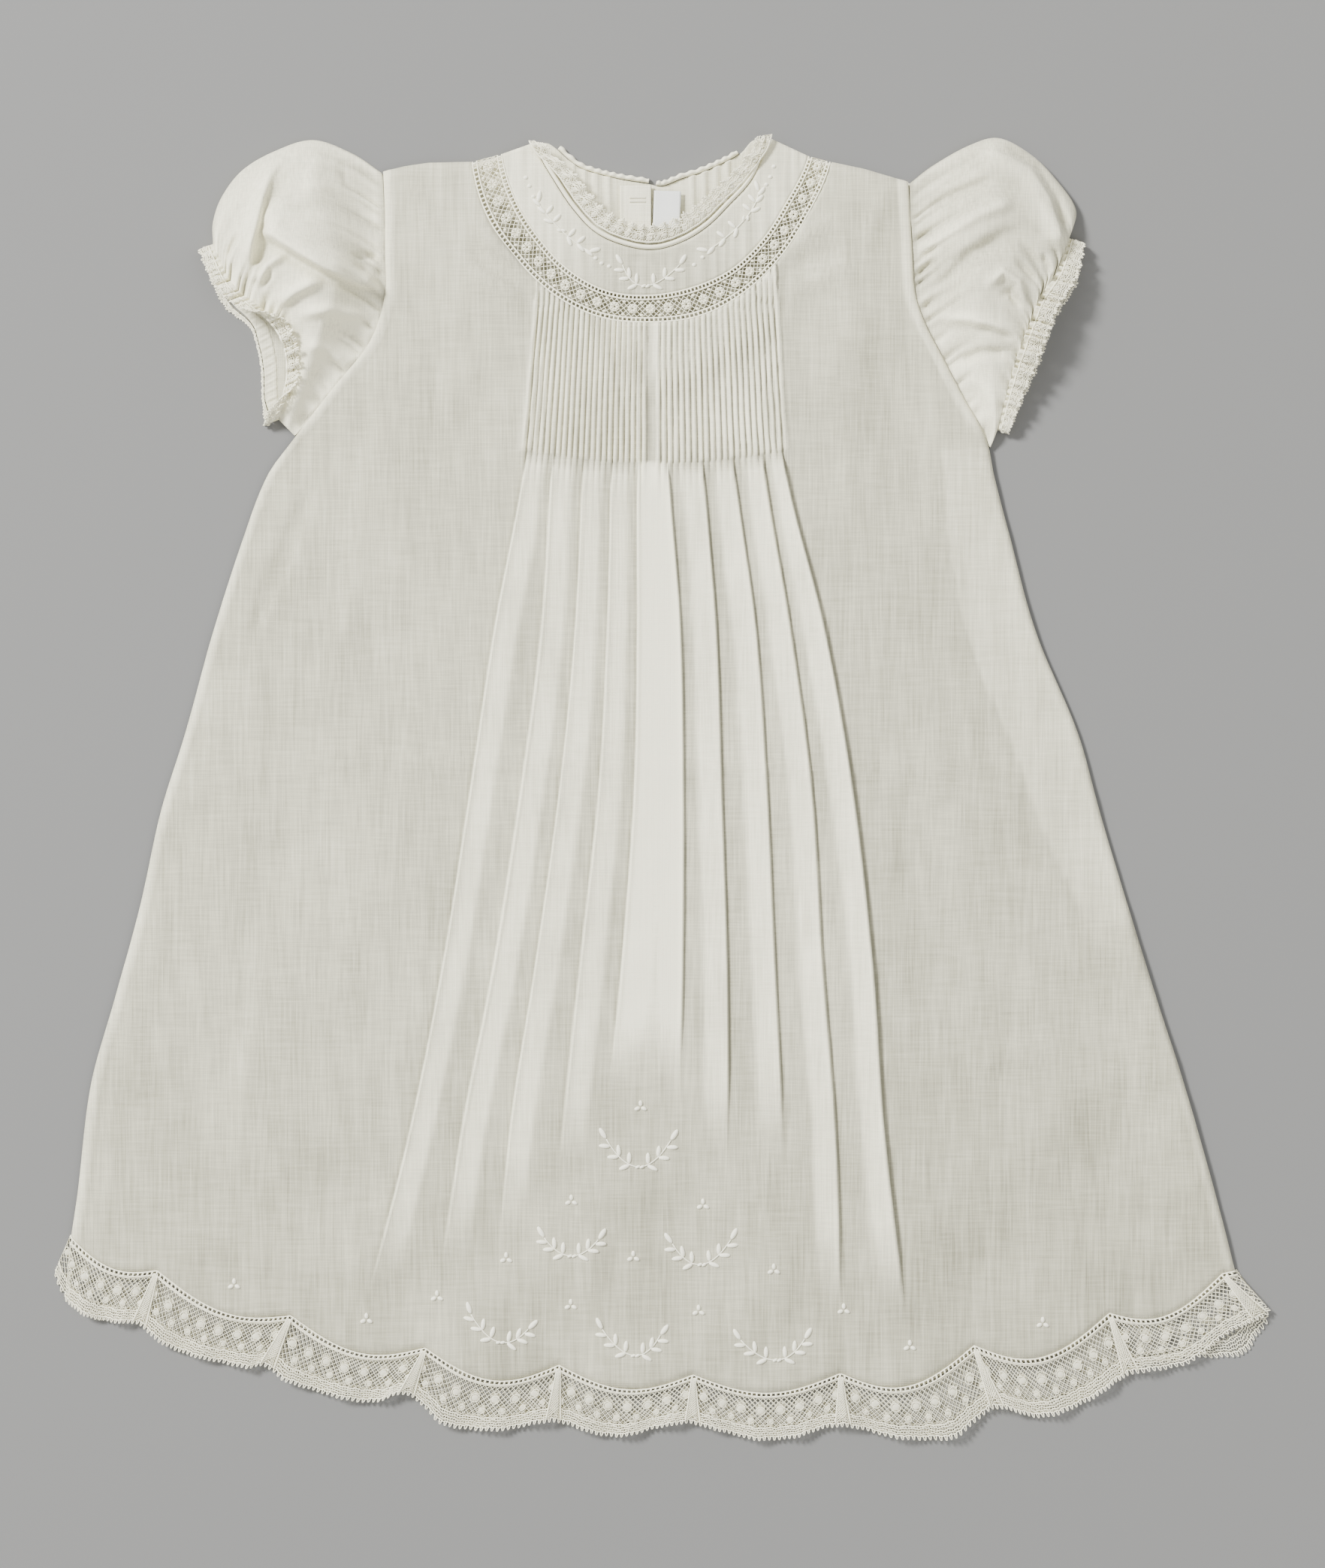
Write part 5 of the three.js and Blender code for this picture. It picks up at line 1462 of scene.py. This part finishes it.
LEFT_SLEEVE = SleeveCut(
    Side.LEFT,
    (
        (0, -93.9, 206.4), (0.12, -103.5, 212.7), (0.25, -116.5, 217.2), (0.4, -129.5, 213.5),
        (0.55, -140.2, 207.2), (0.7, -147, 198.5), (0.85, -150, 190), (1, -150, 182.5),
    ),
    (
        (0, -150, 182.5, -150, 182.5, 1),
        (0.2, -144.5, 171, -145.2, 170.4, 1),
        (0.33, -139.5, 165, -141, 163.3, 1),
        (0.49, -130, 158, -133, 157, 1),
        (0.585, -125.5, 152.5, -130.7, 150.9, 1),
        (0.7, -123.3, 145.5, -129.3, 143.4, 1),
        (0.84, -123.8, 135.5, -129, 134.4, 1),
        (1, -128.4, 124.5, -128.4, 124.5, 1),
    ),
    (-0.93, -0.37),
    2.6,
    LaceTurn(np.radians(160), 6.0, 0.36, 0.56, 0.84),
    0.68,
    (
        Crease(
            ((-126, 212), (-130, 205.5), (-132.5, 196.5), (-134, 188.5), (-136.5, 178.5), (-137, 169.5)),
            3.0, 1.1, 4.5,
        ),
        Crease(((-125.5, 209), (-127, 202), (-130.5, 191)), -1.8, 2.6, 1.3, 0.45),
        Crease(((-125.5, 198.5), (-130, 191.5), (-132.5, 186.5)), 1.8, 4.5, 1.3),
        Crease(
            ((-133.5, 186.5), (-127, 181.5), (-119, 176.5), (-111, 172), (-101, 168.5), (-93, 167.5)),
            4.0, 6.5, 1.1, 0.12,
        ),
        Crease(((-131.5, 188), (-132.5, 181.5), (-136.5, 170.5)), -2.4, 3.8, 1.3, 0.45),
        Crease(
            ((-133, 184.5), (-126, 179.8), (-119, 175.2), (-111, 170.6), (-101, 167), (-94, 166)),
            -1.5, 0.8, 2.6, 0.15,
        ),
        Crease(
            ((-124.5, 211), (-128.5, 204.5), (-131, 196), (-132.6, 188), (-135, 178)),
            -1.1, 1.2, 0.8, 0.2,
        ),
        Crease(((-128.5, 159.5), (-121, 164.5), (-111, 169)), 1.9, 2.6, 1.3),
        Crease(((-122, 157), (-109, 158.8), (-95, 157.5)), 1.7, 2.4, 1.4),
        Crease(((-120, 147.5), (-111, 146.5), (-104, 140.5)), 1.5, 2.2, 1.5),
        Crease(((-134, 166.5), (-131, 173.5), (-123, 178.5)), 1.8, 1.5, 1.5),
        Crease(((-136, 167.5), (-134.2, 175.5)), 1.5, 1.1, 1.1),
        Crease(((-133.5, 165), (-128.5, 173.5)), -1.3, 1.1, 1.3, 0.45),
        Crease(((-145.5, 176.5), (-140.5, 185.5)), -1.6, 1.2, 1.2),
        Crease(((-144, 172.5), (-139.5, 183.5)), 1.6, 1.2, 1.2),
        Crease(((-93.5, 190.5), (-101, 193.5), (-114, 200.5)), -1.2, 1.0, 2.4),
        Crease(((-93.5, 195.5), (-105, 201.5), (-109, 210.5)), -1.1, 1.0, 2.0),
        Crease(((-93.5, 178.5), (-104, 177.5)), -1.2, 0.9, 1.6),
        Crease(((-93.5, 170.5), (-103, 175.5)), -1.2, 0.9, 1.4),
        Crease(((-94, 203.5), (-102, 207.5)), -1.0, 0.9, 1.4),
        Crease(((-112, 214), (-117, 206), (-117, 194)), 1.0, 3.4, 2.4),
        Crease(((-124, 134), (-121, 128), (-113, 121)), 1.0, 1.6, 2.2),
    ),
)
RIGHT_SLEEVE = SleeveCut(
    Side.RIGHT,
    (
        (0, 82.1, 203.2), (0.12, 89, 208.5), (0.25, 101, 215.2), (0.37, 111, 217.9), (0.5, 121.2, 213),
        (0.65, 129.5, 205.2), (0.83, 137, 194), (1, 134.5, 184.5),
    ),
    (
        (0, 134.5, 184.5, 134.5, 184.5, 0.8),
        (0.19, 130, 172.5, 131, 172, 1),
        (0.35, 123.9, 163, 125, 162.2, 1),
        (0.475, 120.7, 155, 121.8, 154.3, 1),
        (0.64, 117, 144.5, 118, 143.8, 1),
        (0.74, 114.9, 137.3, 115.8, 136.7, 0.85),
        (0.845, 113.2, 130.5, 113.9, 130, 0.7),
        (1, 111, 121, 111, 121, 0.55),
    ),
    (0.95, -0.31),
    4.4,
    LaceTurn(0.0, 4.4, 0.36, 0.56, 0.84),
    0.52,
    (
        Crease(
            ((108.5, 217), (110, 212), (121.5, 206.5), (127.5, 196.5), (130.5, 186.5), (131.5, 178.5)),
            3.2, 1.0, 4.5, 0.12,
        ),
        Crease(((112.5, 215.5), (124.5, 208), (130.8, 197.5), (133.5, 187)), -3.0, 1.4, 1.2, 0.12),
        Crease(((85, 193.5), (96.5, 198.7), (111.5, 204.2)), -2.0, 1.2, 2.4),
        Crease(((84, 198), (98, 203), (112, 208.5)), 1.2, 2.4, 1.8),
        Crease(((82.5, 179.5), (91.5, 183.5), (103.5, 190.5), (116.5, 195.5)), 2.0, 3.0, 2.2, 0.15),
        Crease(((84, 156), (91.5, 167.5), (100.5, 177), (111.5, 183.5), (124.5, 188.5)), -2.7, 2.4, 4.8, 0.4),
        Crease(((104.5, 165.5), (111.5, 171.3), (116.5, 168), (120.5, 160.5)), 2.0, 1.7, 1.7),
        Crease(((109, 164), (114, 164.8), (118.5, 158.5)), -1.5, 1.4, 1.4, 0.45),
        Crease(((87.5, 158.5), (101.5, 155.8), (118.5, 149.8)), 1.9, 2.0, 1.4),
        Crease(((102, 154), (108.5, 152.8), (116.5, 149.8)), -1.8, 1.0, 1.4),
        Crease(((95.5, 142.5), (104.5, 146.3), (116.5, 146)), -1.9, 1.0, 2.2),
        Crease(((114.5, 177.5), (125, 166.5)), -1.5, 1.1, 1.3, 0.45),
        Crease(((116.5, 183), (127.5, 170.5)), -1.5, 1.1, 1.3, 0.45),
        Crease(((124.5, 178.5), (128.5, 171)), -1.6, 0.9, 1.1),
        Crease(((82.5, 202), (91.5, 206.5)), -1.2, 0.9, 1.4),
        Crease(((82.5, 185.3), (90.5, 186.5)), -1.2, 0.9, 1.4),
        Crease(((83, 172.5), (90.5, 177.5)), -1.2, 0.9, 1.4),
        Crease(((83, 178), (91.5, 181.5)), -1.0, 0.8, 1.2),
        Crease(((100, 139), (107, 133), (112, 126)), 1.1, 2.0, 2.0),
    ),
)


class Strip(Enum):
    """The strips sewn round a cuff."""

    CASING = "casing"
    LACE = "lace"


@dataclass
class PuffSleeve:
    """A puff sleeve on its side: a flattened tube gathered at armhole and cuff, with casing and lace."""

    pattern: Pattern
    cut: SleeveCut
    edge: float = 2.7
    crown: float = 12.0
    cuff_rise: float = 7.0
    seam: float = 0.6
    thickness: float = 0.3
    gap: float = 0.4
    casing: float = 2.0
    casing_bared: float = 4.4
    tucked_under: float = 1.75
    rows: int = 108
    columns: int = 130
    rim_points: int = 240
    casing_points: int = 520
    over_x: Line = field(init=False)
    over_y: Line = field(init=False)
    lines: list[Line] = field(init=False)
    reach: Line = field(init=False)

    def __post_init__(self) -> None:
        """Make the smooth lines from the cut's tables."""
        over = list(zip(*self.cut.over))
        cuff = list(zip(*self.cut.cuff))
        self.over_x, self.over_y = Line(over[0], over[1]), Line(over[0], over[2])
        self.lines = [Line(cuff[0], cuff[k]) for k in (1, 2, 3, 4)]
        self.reach = Line(cuff[0], cuff[5])

    @property
    def word(self) -> str:
        """The sleeve's side in its names."""
        return self.cut.side.name.lower()

    def _armhole(self, down: Array) -> Array:
        """Points of the armhole seam."""
        side = self.cut.side
        y = lerp(self.cut.over[0][2], self.pattern.UNDERARM[side], down)
        edge = self.pattern.left if side is Side.LEFT else self.pattern.right
        return np.stack([edge(y) + side.value * 0.35 * lerp(1, 1.4, down), y], -1)

    def plan(self, along: Array, down: Array, back: Array) -> Array:
        """Plan of a layer, a Coons patch: along from armhole to cuff, down from the upper edge."""
        x, y, back_x, back_y = (line(down) for line in self.lines)
        cuff = np.stack([np.where(back, back_x, x), np.where(back, back_y, y)], -1)
        over = np.stack([self.over_x(along), self.over_y(along)], -1)
        one = np.ones_like(np.asarray(down, float))
        top, low = self._armhole(0 * one), self._armhole(one)
        ends = [np.stack([line(k * one) for line in self.lines[:2]], -1) for k in (0, 1)]
        a, d = np.asarray(along)[..., None], np.asarray(down)[..., None]
        edges = lerp(self._armhole(down), cuff, a) + lerp(over, lerp(low, ends[1], a), d)
        return edges - lerp(lerp(top, ends[0], a), lerp(low, ends[1], a), d)

    def pinches(self, along: Array, down: Array) -> Array:
        """The gathers at armhole and cuff: rounded ridges between sharp furrows, unevenly spaced."""
        uneven = down + 0.016 * np.sin(down * 37) + 0.009 * np.sin(down * 83)
        fine = np.abs(np.sin(np.pi * 17 * uneven)) ** 0.55 - 0.75
        broad = np.abs(np.sin(np.pi * 7 * down + 1)) ** 0.8 - 0.6
        reach = 0.2 + 0.08 * np.sin(down * 29)
        seam = 1.7 * fine * (1 - ease(along, 0.04, reach + 0.08)) + 0.8 * broad * (1 - ease(along, 0.05, 0.5))
        fine = np.abs(np.sin(np.pi * 20 * uneven + 0.8)) ** 0.8 - 0.6
        broad = np.abs(np.sin(np.pi * 9 * down)) ** 0.8 - 0.6
        cuff = 1.5 * fine * ease(along, 0.68, 0.97) + 1.1 * broad * ease(along, 0.45, 0.95)
        return 1.35 * (seam + cuff) * ease(along, 0, 0.03)

    def folds(self, along: Array, down: Array) -> Array:
        """The rise and fall of the sleeve's own folds, fading out at its seams."""
        xy = self.plan(along, down, np.zeros(np.shape(along), bool))
        x, y = xy[..., 0], xy[..., 1]
        folds = creased(x, y, self.cut.creases) * ease(along, 0, 0.05) * (1 - ease(along, 0.9, 1))
        waves = 0.5 * ripple(x, y, 31 + self.cut.side.value, 8, 9, 26)
        return 1.3 * folds + waves * ease(along, 0, 0.2)

    def height(self, along: Array, down: Array) -> Array:
        """The front layer's outer face: a puff, from under the panel at the armhole to the cuff."""
        rounded = np.sin(np.pi * np.clip(down, 0, 1)) ** 0.7
        rise = lerp(self.seam, self.crown, ease(along, -0.12, 0.4))
        fall = lerp(self.crown, self.cuff_rise, ease(along, 0.4, 1.05))
        swell = np.where(along < 0.4, rise, fall) * (1 - 0.45 * ease(down, 0.45, 0.85))
        full = self.edge + rounded * swell
        bent = self.folds(along, down) + self.pinches(along, down)
        climb = ease(along, -0.02, 0.27 + 0.25 * ease(down, 0.45, 0.85))
        return lerp(self.tucked_under, full, climb) + rounded * bent

    def _tube(self, along: Array, count: int) -> tuple[Array, Array, Array, Array]:
        """Grids round the flattened tube: the front layer downwards, then the back layer up again."""
        step = np.linspace(0, 1, count)
        down = np.concatenate([step, step[::-1]])
        front = np.concatenate([np.ones(count, bool), np.zeros(count, bool)])
        along, down = np.meshgrid(along, down)
        front = np.broadcast_to(front[:, None], down.shape)
        return along, down, front, ~front

    def build_sleeve(self, trims: list[bpy.types.Object]) -> None:
        """Make the sleeve's cloth."""
        along, down, front, back = self._tube(np.linspace(0, 1, self.rows), self.columns)
        under = self.cut.side.value * 0.9 * (1 - ease(along, 0, 0.03)) * np.sin(np.pi * down) ** 0.3 * front
        xy = self.plan(along, down, back) - np.stack([under, 0 * under], -1)
        top = self.height(along, down)
        outer = np.concatenate([xy, np.where(front, top, 0.0)[..., None]], -1)
        inset = lerp(0.006, 0.994, down)
        inner_xy = self.plan(along, inset, back) - np.stack([under, 0 * under], -1)
        low = np.where(front, top - self.thickness, self.thickness)
        inner = np.concatenate([inner_xy, low[..., None]], -1)
        piece = Piecework(f"{self.word}_sleeve_cloth")
        # Painted light and shade on the front layer: lighter on the folds' ridges and the gathers' rounds,
        # darker in troughs and furrows, and lighter low down towards the armhole, where the puff slopes away
        # from the key light.
        bent = np.tanh(self.folds(along, down) / 2.4)
        painted_light = 0.24 * np.maximum(bent, 0) + 0.13 * np.minimum(bent, 0) + 0.24 * self.pinches(along, down)
        painted_light = painted_light + 0.28 * ease(down, 0.4, 0.7) * (1 - ease(along, 0.5, 0.9))
        # Painted shadow along the armhole seam. The back layer is a little darker.
        tone = self.cut.tone + painted_light * front - 0.1 * back - 0.25 * (1 - ease(along, 0.006, 0.03))
        piece.add_shell(outer, inner, around=True, tone=tone)
        made = piece.make(BATISTE, f"{self.word}_sleeve")

    def _rim(self) -> tuple[Array, Array, Array, Array]:
        """Round the cuff's edge: length along it, points, the share down it, and 1 in front and 0 behind."""
        step = np.linspace(0, 1, self.rim_points)
        down = np.concatenate([step, step[::-1]])
        front = np.concatenate([np.ones(self.rim_points), np.zeros(self.rim_points)])
        at_cuff = np.ones(2 * self.rim_points)
        xy = self.plan(at_cuff, down, front < 0.5)
        z = np.where(front < 0.5, 0.25, self.height(at_cuff, down) - 0.15)
        rim = np.concatenate([xy, z[:, None]], -1)
        rim, down, front = (np.concatenate([v, v[:1]]) for v in (rim, down, front))
        arc = np.concatenate([[0], np.cumsum(np.linalg.norm(np.diff(rim, axis=0), axis=1))])
        return arc, rim, down, front

    def ring_place(self, strip: Strip) -> tuple[Place, float, float]:
        """How a strip goes round the cuff and out from it: s round the opening, t outwards.

        Where the lace is turned, its front swings up about its sewn edge and lies back over the sleeve.

        Args:
            strip: the casing or the lace.

        Returns:
            The mapping, the length round the cuff, and the strip's width.
        """
        arc, rim, down, front = self._rim()
        turn = self.cut.turn
        turned = ease(down, turn.start, turn.full) * (1 - ease(down, turn.back, 1)) * (turn.angle > 0)
        swing = turned * front
        casing = lerp(self.casing, self.casing_bared, turned * (1 - front))
        over = front * (1 - turned)
        if strip is Strip.CASING:
            start, width, nominal, ruffle = np.full_like(arc, self.gap - 0.7), casing + 0.7, self.casing, 0.0
            swing = 0 * swing
        else:
            start = self.gap + lerp(casing + 0.3 - 0.6 * turned * (1 - front), 0.5, over)
            shown = lerp(self.cut.lace + (self.casing - 0.2) * over, turn.width, swing)
            width = lerp(shown, 0.9, turned * (1 - front))
            nominal, ruffle = self.cut.lace + self.casing - 0.2, 0.38
        lines = np.stack([*rim.T, front, swing, start, width, self.reach(down), over])
        out_x, out_y = self.cut.out

        def place(s: Array, t: Array, lift: Array) -> Array:
            """Out from the cuff's edge by the strip's own reach there, in clumps that wave."""
            j = t / nominal
            clump = np.sin(TAU * s / 4.9 + 1.6 * np.sin(s / 7))
            slide = 0.2 * (ruffle > 0) * j * np.cos(TAU * s / 5.7)
            at = np.mod(s + slide, arc[-1])
            x, y, z, fore, swung, begin, wide, reach, above = (np.interp(at, arc, line) for line in lines)
            out = j * wide * reach * (1 + 0.06 * clump * (ruffle > 0))
            angle = turn.angle * swung
            beyond = self.gap + (begin - self.gap) * reach + out * np.cos(angle)
            raised = ruffle * j * (1 + clump) + 0.5 * above * (ruffle > 0)
            z = z + out * np.sin(angle) + 0.5 * swung + raised * fore
            z = z + lift * lerp(0.5, 1.0, fore)
            return np.stack([x + out_x * beyond, y + out_y * beyond, np.maximum(z, 0.14)], -1)

        return place, float(arc[-1]), nominal

    def build_casing(self) -> bpy.types.Object:
        """Make the narrow gathered casing round the cuff."""
        place, length, width = self.ring_place(Strip.CASING)
        s = np.linspace(0, length, self.casing_points)[:-1]
        s_grid, t = crossed(s, np.linspace(0, width, 9))
        lumps = np.cos(TAU * s_grid / 2.7 + 1.9 * np.sin(s_grid / 4.1))
        lumps = lumps + 0.6 * np.cos(TAU * s_grid / 1.45 + t)
        gathers = 0.3 * lumps * np.sin(np.pi * t / width)
        stitched = -0.35 * (np.abs(t / width - 0.5) > 0.4)
        top = place(s_grid, t, 0.4 + gathers + stitched)
        inner = place(s_grid, t, np.zeros_like(t))
        inner[..., 2] = np.minimum(inner[..., 2], top[..., 2] - 0.06)
        piece = Piecework(f"{self.word}_casing_cloth")
        # Painted light and shade: the gathers' ridges lighter, their furrows darker.
        tone = 0.78 + 0.25 * gathers
        piece.add_shell(top, inner, around=True, tone=tone)
        return piece.make(BATISTE, f"{self.word}_cuff_casing")

    def build_lace(self) -> bpy.types.Object:
        """Make the lace round the cuff."""
        place, length, width = self.ring_place(Strip.LACE)
        return LaceRibbon(
            f"{self.word}_cuff_lace", place, length, width,
            net=0.95, thread=0.16, border=(0.0, -0.7, -1.4, -2.0), scallop=3.6, bulge=0.5,
            dots=((2.0, 0.8),), dot_pitch=2.9, picot=1.1, picot_reach=0.85, heading=0.7,
        ).build()

    def build(self) -> None:
        """Make the sleeve, its casing and its lace."""
        self.build_sleeve([self.build_casing(), self.build_lace()])


# Embroidery


@dataclass(frozen=True)
class Spray:
    """A spray of satin leaves on a stem that hangs through three points."""

    start: tuple[float, float]
    node: tuple[float, float]
    end: tuple[float, float]
    leaf: float = 1.9


# A spray's leaves on one arm: the share of the way out along it, and the way each leaf points, in degrees up
# from the arm's own outward direction
SPRAY_LEAVES = ((0.3, 92.0), (0.26, -24.0), (0.6, 84.0), (0.6, -4.0), (0.86, 2.0), (1.0, 58.0))


@dataclass
class Embroidery:
    """White satin stitch on the yoke and above the hem: leafy sprays and dots in threes."""

    front: FrontPanel
    yoke: Yoke
    stem_points: int = 24
    dot: float = 0.75
    skirt_sprays: tuple[Spray, ...] = (
        Spray((-19.2, -115.0), (-8.5, -124.2), (2.2, -115.5)),
        Spray((-39.8, -147.8), (-31.0, -153.8), (-21.8, -148.3)),
        Spray((2.8, -149.8), (12.2, -156.8), (22.2, -148.5)),
        Spray((-64.2, -173.3), (-54.8, -182.5), (-45.2, -178.2)),
        Spray((-20.5, -178.3), (-10.0, -187.0), (-1.2, -180.2)),
        Spray((25.5, -181.8), (37.2, -188.5), (46.8, -181.5)),
    )
    yoke_sprays: tuple[Spray, ...] = (
        Spray((-42.0, 196.5), (-34.5, 187.5), (-25.0, 180.2), 1.75),
        Spray((-13.8, 175.8), (-6.5, 168.7), (5.2, 175.8), 1.75),
        Spray((14.8, 180.5), (26.8, 190.8), (31.5, 200.0), 1.75),
    )
    clusters: tuple[tuple[float, float], ...] = (
        (-7.8, -104.3), (-30.8, -135.5), (13.0, -137.0), (-52.5, -154.8), (-10.2, -154.3),
        (36.5, -158.5), (-31.0, -170.3), (11.5, -172.3), (-75.5, -167.5), (59.8, -171.8),
        (-143.0, -163.5), (-99.0, -175.0), (81.8, -184.0), (126.0, -176.3),
    )
    yoke_dots: tuple[tuple[float, float], ...] = (
        (-46.0, 204.8), (-44.8, 202.0), (-43.5, 198.5), (-22.8, 178.0), (-20.8, 176.3), (-18.3, 175.3),
        (10.0, 175.8), (12.8, 178.3), (34.0, 202.5), (35.3, 205.0), (36.5, 208.5),
    )

    def _stem(self, spray: Spray) -> tuple[Array, Array]:
        """Points along a stem, a smooth curve through its three points."""
        t = np.linspace(0, 1, self.stem_points)
        p0, p1, p2 = (np.array(p) for p in (spray.start, spray.node, spray.end))
        bend = 2 * p1 - (p0 + p2) / 2
        points = np.outer((1 - t) ** 2, p0) + np.outer(2 * t * (1 - t), bend) + np.outer(t**2, p2)
        return points[:, 0], points[:, 1]

    def _add_spray(self, piece: Piecework, spray: Spray, height: Callable[[Array, Array], Array]) -> None:
        """Sew one spray: its stem, the leaves of its two arms, and the two stitches that bind its middle."""
        x, y = self._stem(spray)
        path = np.stack([x, y, height(x, y) + 0.15], -1)
        piece.add_cords(path[None], 0.21, 5, 0.8, tone=0.95)
        chord = np.array(spray.end) - np.array(spray.start)
        tilt = np.arctan2(chord[1], chord[0])
        share, point = np.array(SPRAY_LEAVES).T
        for arm in (-1, 1):
            at = np.interp(0.5 + 0.5 * arm * share, np.linspace(0, 1, len(x)), np.arange(len(x)))
            root_x, root_y = np.interp(at, np.arange(len(x)), x), np.interp(at, np.arange(len(x)), y)
            angle = tilt + np.where(arm > 0, np.radians(point), np.pi - np.radians(point))
            size = spray.leaf * np.where(share > 0.95, 1.1, 1.0)
            cx, cy = root_x + np.cos(angle) * size * 1.1, root_y + np.sin(angle) * size * 1.1
            centre = np.stack([cx, cy, height(cx, cy) + 0.08], -1)
            piece.add_beads(centre, angle, size, size * 0.42, 0.55, 6, 8)
        half = len(x) // 2
        z = height(x[half : half + 1], y[half : half + 1])[0] + 0.15
        middle = np.array([(x[half] + off, y[half], z) for off in (-0.7, 0.7)])
        piece.add_beads(middle, tilt + 0.5, 0.9, 0.5, 0.45, 5, 8)

    def build_skirt(self) -> bpy.types.Object:
        """Sew the skirt's embroidery."""
        skirt = Piecework("skirt_embroidery")
        for spray in self.skirt_sprays:
            self._add_spray(skirt, spray, self.front.height)
        centres = np.array(self.clusters)
        turn = np.radians([90.0, 205.0, 335.0])
        x = (centres[:, :1] + 1.25 * np.cos(turn)).ravel()
        y = (centres[:, 1:] + 1.25 * np.sin(turn)).ravel()
        petals = np.stack([x, y, self.front.height(x, y) + 0.08], -1)
        skirt.add_beads(petals, np.tile(turn, len(centres)), 1.0, 0.7, 0.5, 5, 8)
        return skirt.make(SATIN)

    def build_yoke(self) -> bpy.types.Object:
        """Sew the yoke's embroidery."""
        yoke = Piecework("yoke_embroidery")
        for spray in self.yoke_sprays:
            self._add_spray(yoke, spray, self.yoke.height)
        x, y = np.array(self.yoke_dots).T
        dots = np.stack([x, y, self.yoke.height(x, y) + 0.05], -1)
        yoke.add_beads(dots, 0.3, self.dot, self.dot * 0.9, 0.42, 4, 8, tone=0.98)
        return yoke.make(SATIN)


# Studio


@dataclass
class Studio:
    """The surface below, the soft light from the upper left, and a camera straight above."""

    centre: tuple[float, float] = (-0.5, 3.1)
    view_height: float = 521.75
    distance: float = 1000.0
    sensor: float = 36.0
    key_power: float = 285.0
    fill_power: float = 17.0

    def floor(self) -> None:
        """A plain pale surface under the gown."""
        piece = bpy.data.meshes.new("floor")
        reach = 3.0
        corners = [(-reach, -reach, 0), (reach, -reach, 0), (reach, reach, 0), (-reach, reach, 0)]
        piece.from_pydata(corners, [], [(0, 1, 2, 3)])
        piece.materials.append(FLOOR.material())
        ground = bpy.data.objects.new("floor", piece)
        bpy.context.scene.collection.objects.link(ground)

    def _area_light(self, name: str, place: tuple[float, float, float], size: float, power: float) -> None:
        """A square light that points at the gown."""
        light = bpy.data.lights.new(name, "AREA")
        light.size = size
        light.energy = power
        lamp = bpy.data.objects.new(name, light)
        lamp.location = place
        lamp.rotation_euler = (-Vector(place)).to_track_quat("-Z", "Y").to_euler()
        bpy.context.scene.collection.objects.link(lamp)

    def lights(self) -> None:
        """A soft key from the upper left, a wide fill from the right, and a pale surround."""
        self._area_light("key", (-2.1, 1.6, 2.1), 0.7, self.key_power)
        self._area_light("fill", (0.9, -0.5, 1.6), 1.8, self.fill_power)
        world = bpy.data.worlds.new("surround")
        world.use_nodes = True
        world.node_tree.nodes["Background"].inputs[0].default_value = (1.0, 0.995, 0.98, 1)
        world.node_tree.nodes["Background"].inputs[1].default_value = 0.78
        bpy.context.scene.world = world

    def camera(self) -> None:
        """Straight down on the middle of the gown, upright as it lies."""
        lens = bpy.data.cameras.new("camera")
        lens.sensor_fit = "VERTICAL"
        lens.sensor_height = self.sensor
        lens.lens = self.sensor * self.distance / self.view_height
        lens.clip_end = 20
        camera = bpy.data.objects.new("camera", lens)
        camera.location = (self.centre[0] * MM, self.centre[1] * MM, (self.distance + 2) * MM)
        bpy.context.scene.collection.objects.link(camera)
        bpy.context.scene.camera = camera

    def build(self) -> None:
        """Set up the studio."""
        self.camera()
        self.floor()
        self.lights()


def main() -> None:
    """Build the gown piece by piece."""
    logging.basicConfig(level=logging.INFO, format="%(name)s %(message)s")
    Studio().build()
    pattern = Pattern()
    front, yoke, neck = FrontPanel(pattern), Yoke(pattern), NeckFinish(pattern)
    embroidery = Embroidery(front, yoke)
    BackPanel(pattern).build(neck.build_back())
    front.build([embroidery.build_skirt()])
    yoke.build([*neck.build_front(), embroidery.build_yoke()])
    InsertionBand(pattern).build()
    HemLace(pattern).build()
    for cut in (LEFT_SLEEVE, RIGHT_SLEEVE):
        PuffSleeve(pattern, cut).build()


if __name__ == "__main__":
    main()
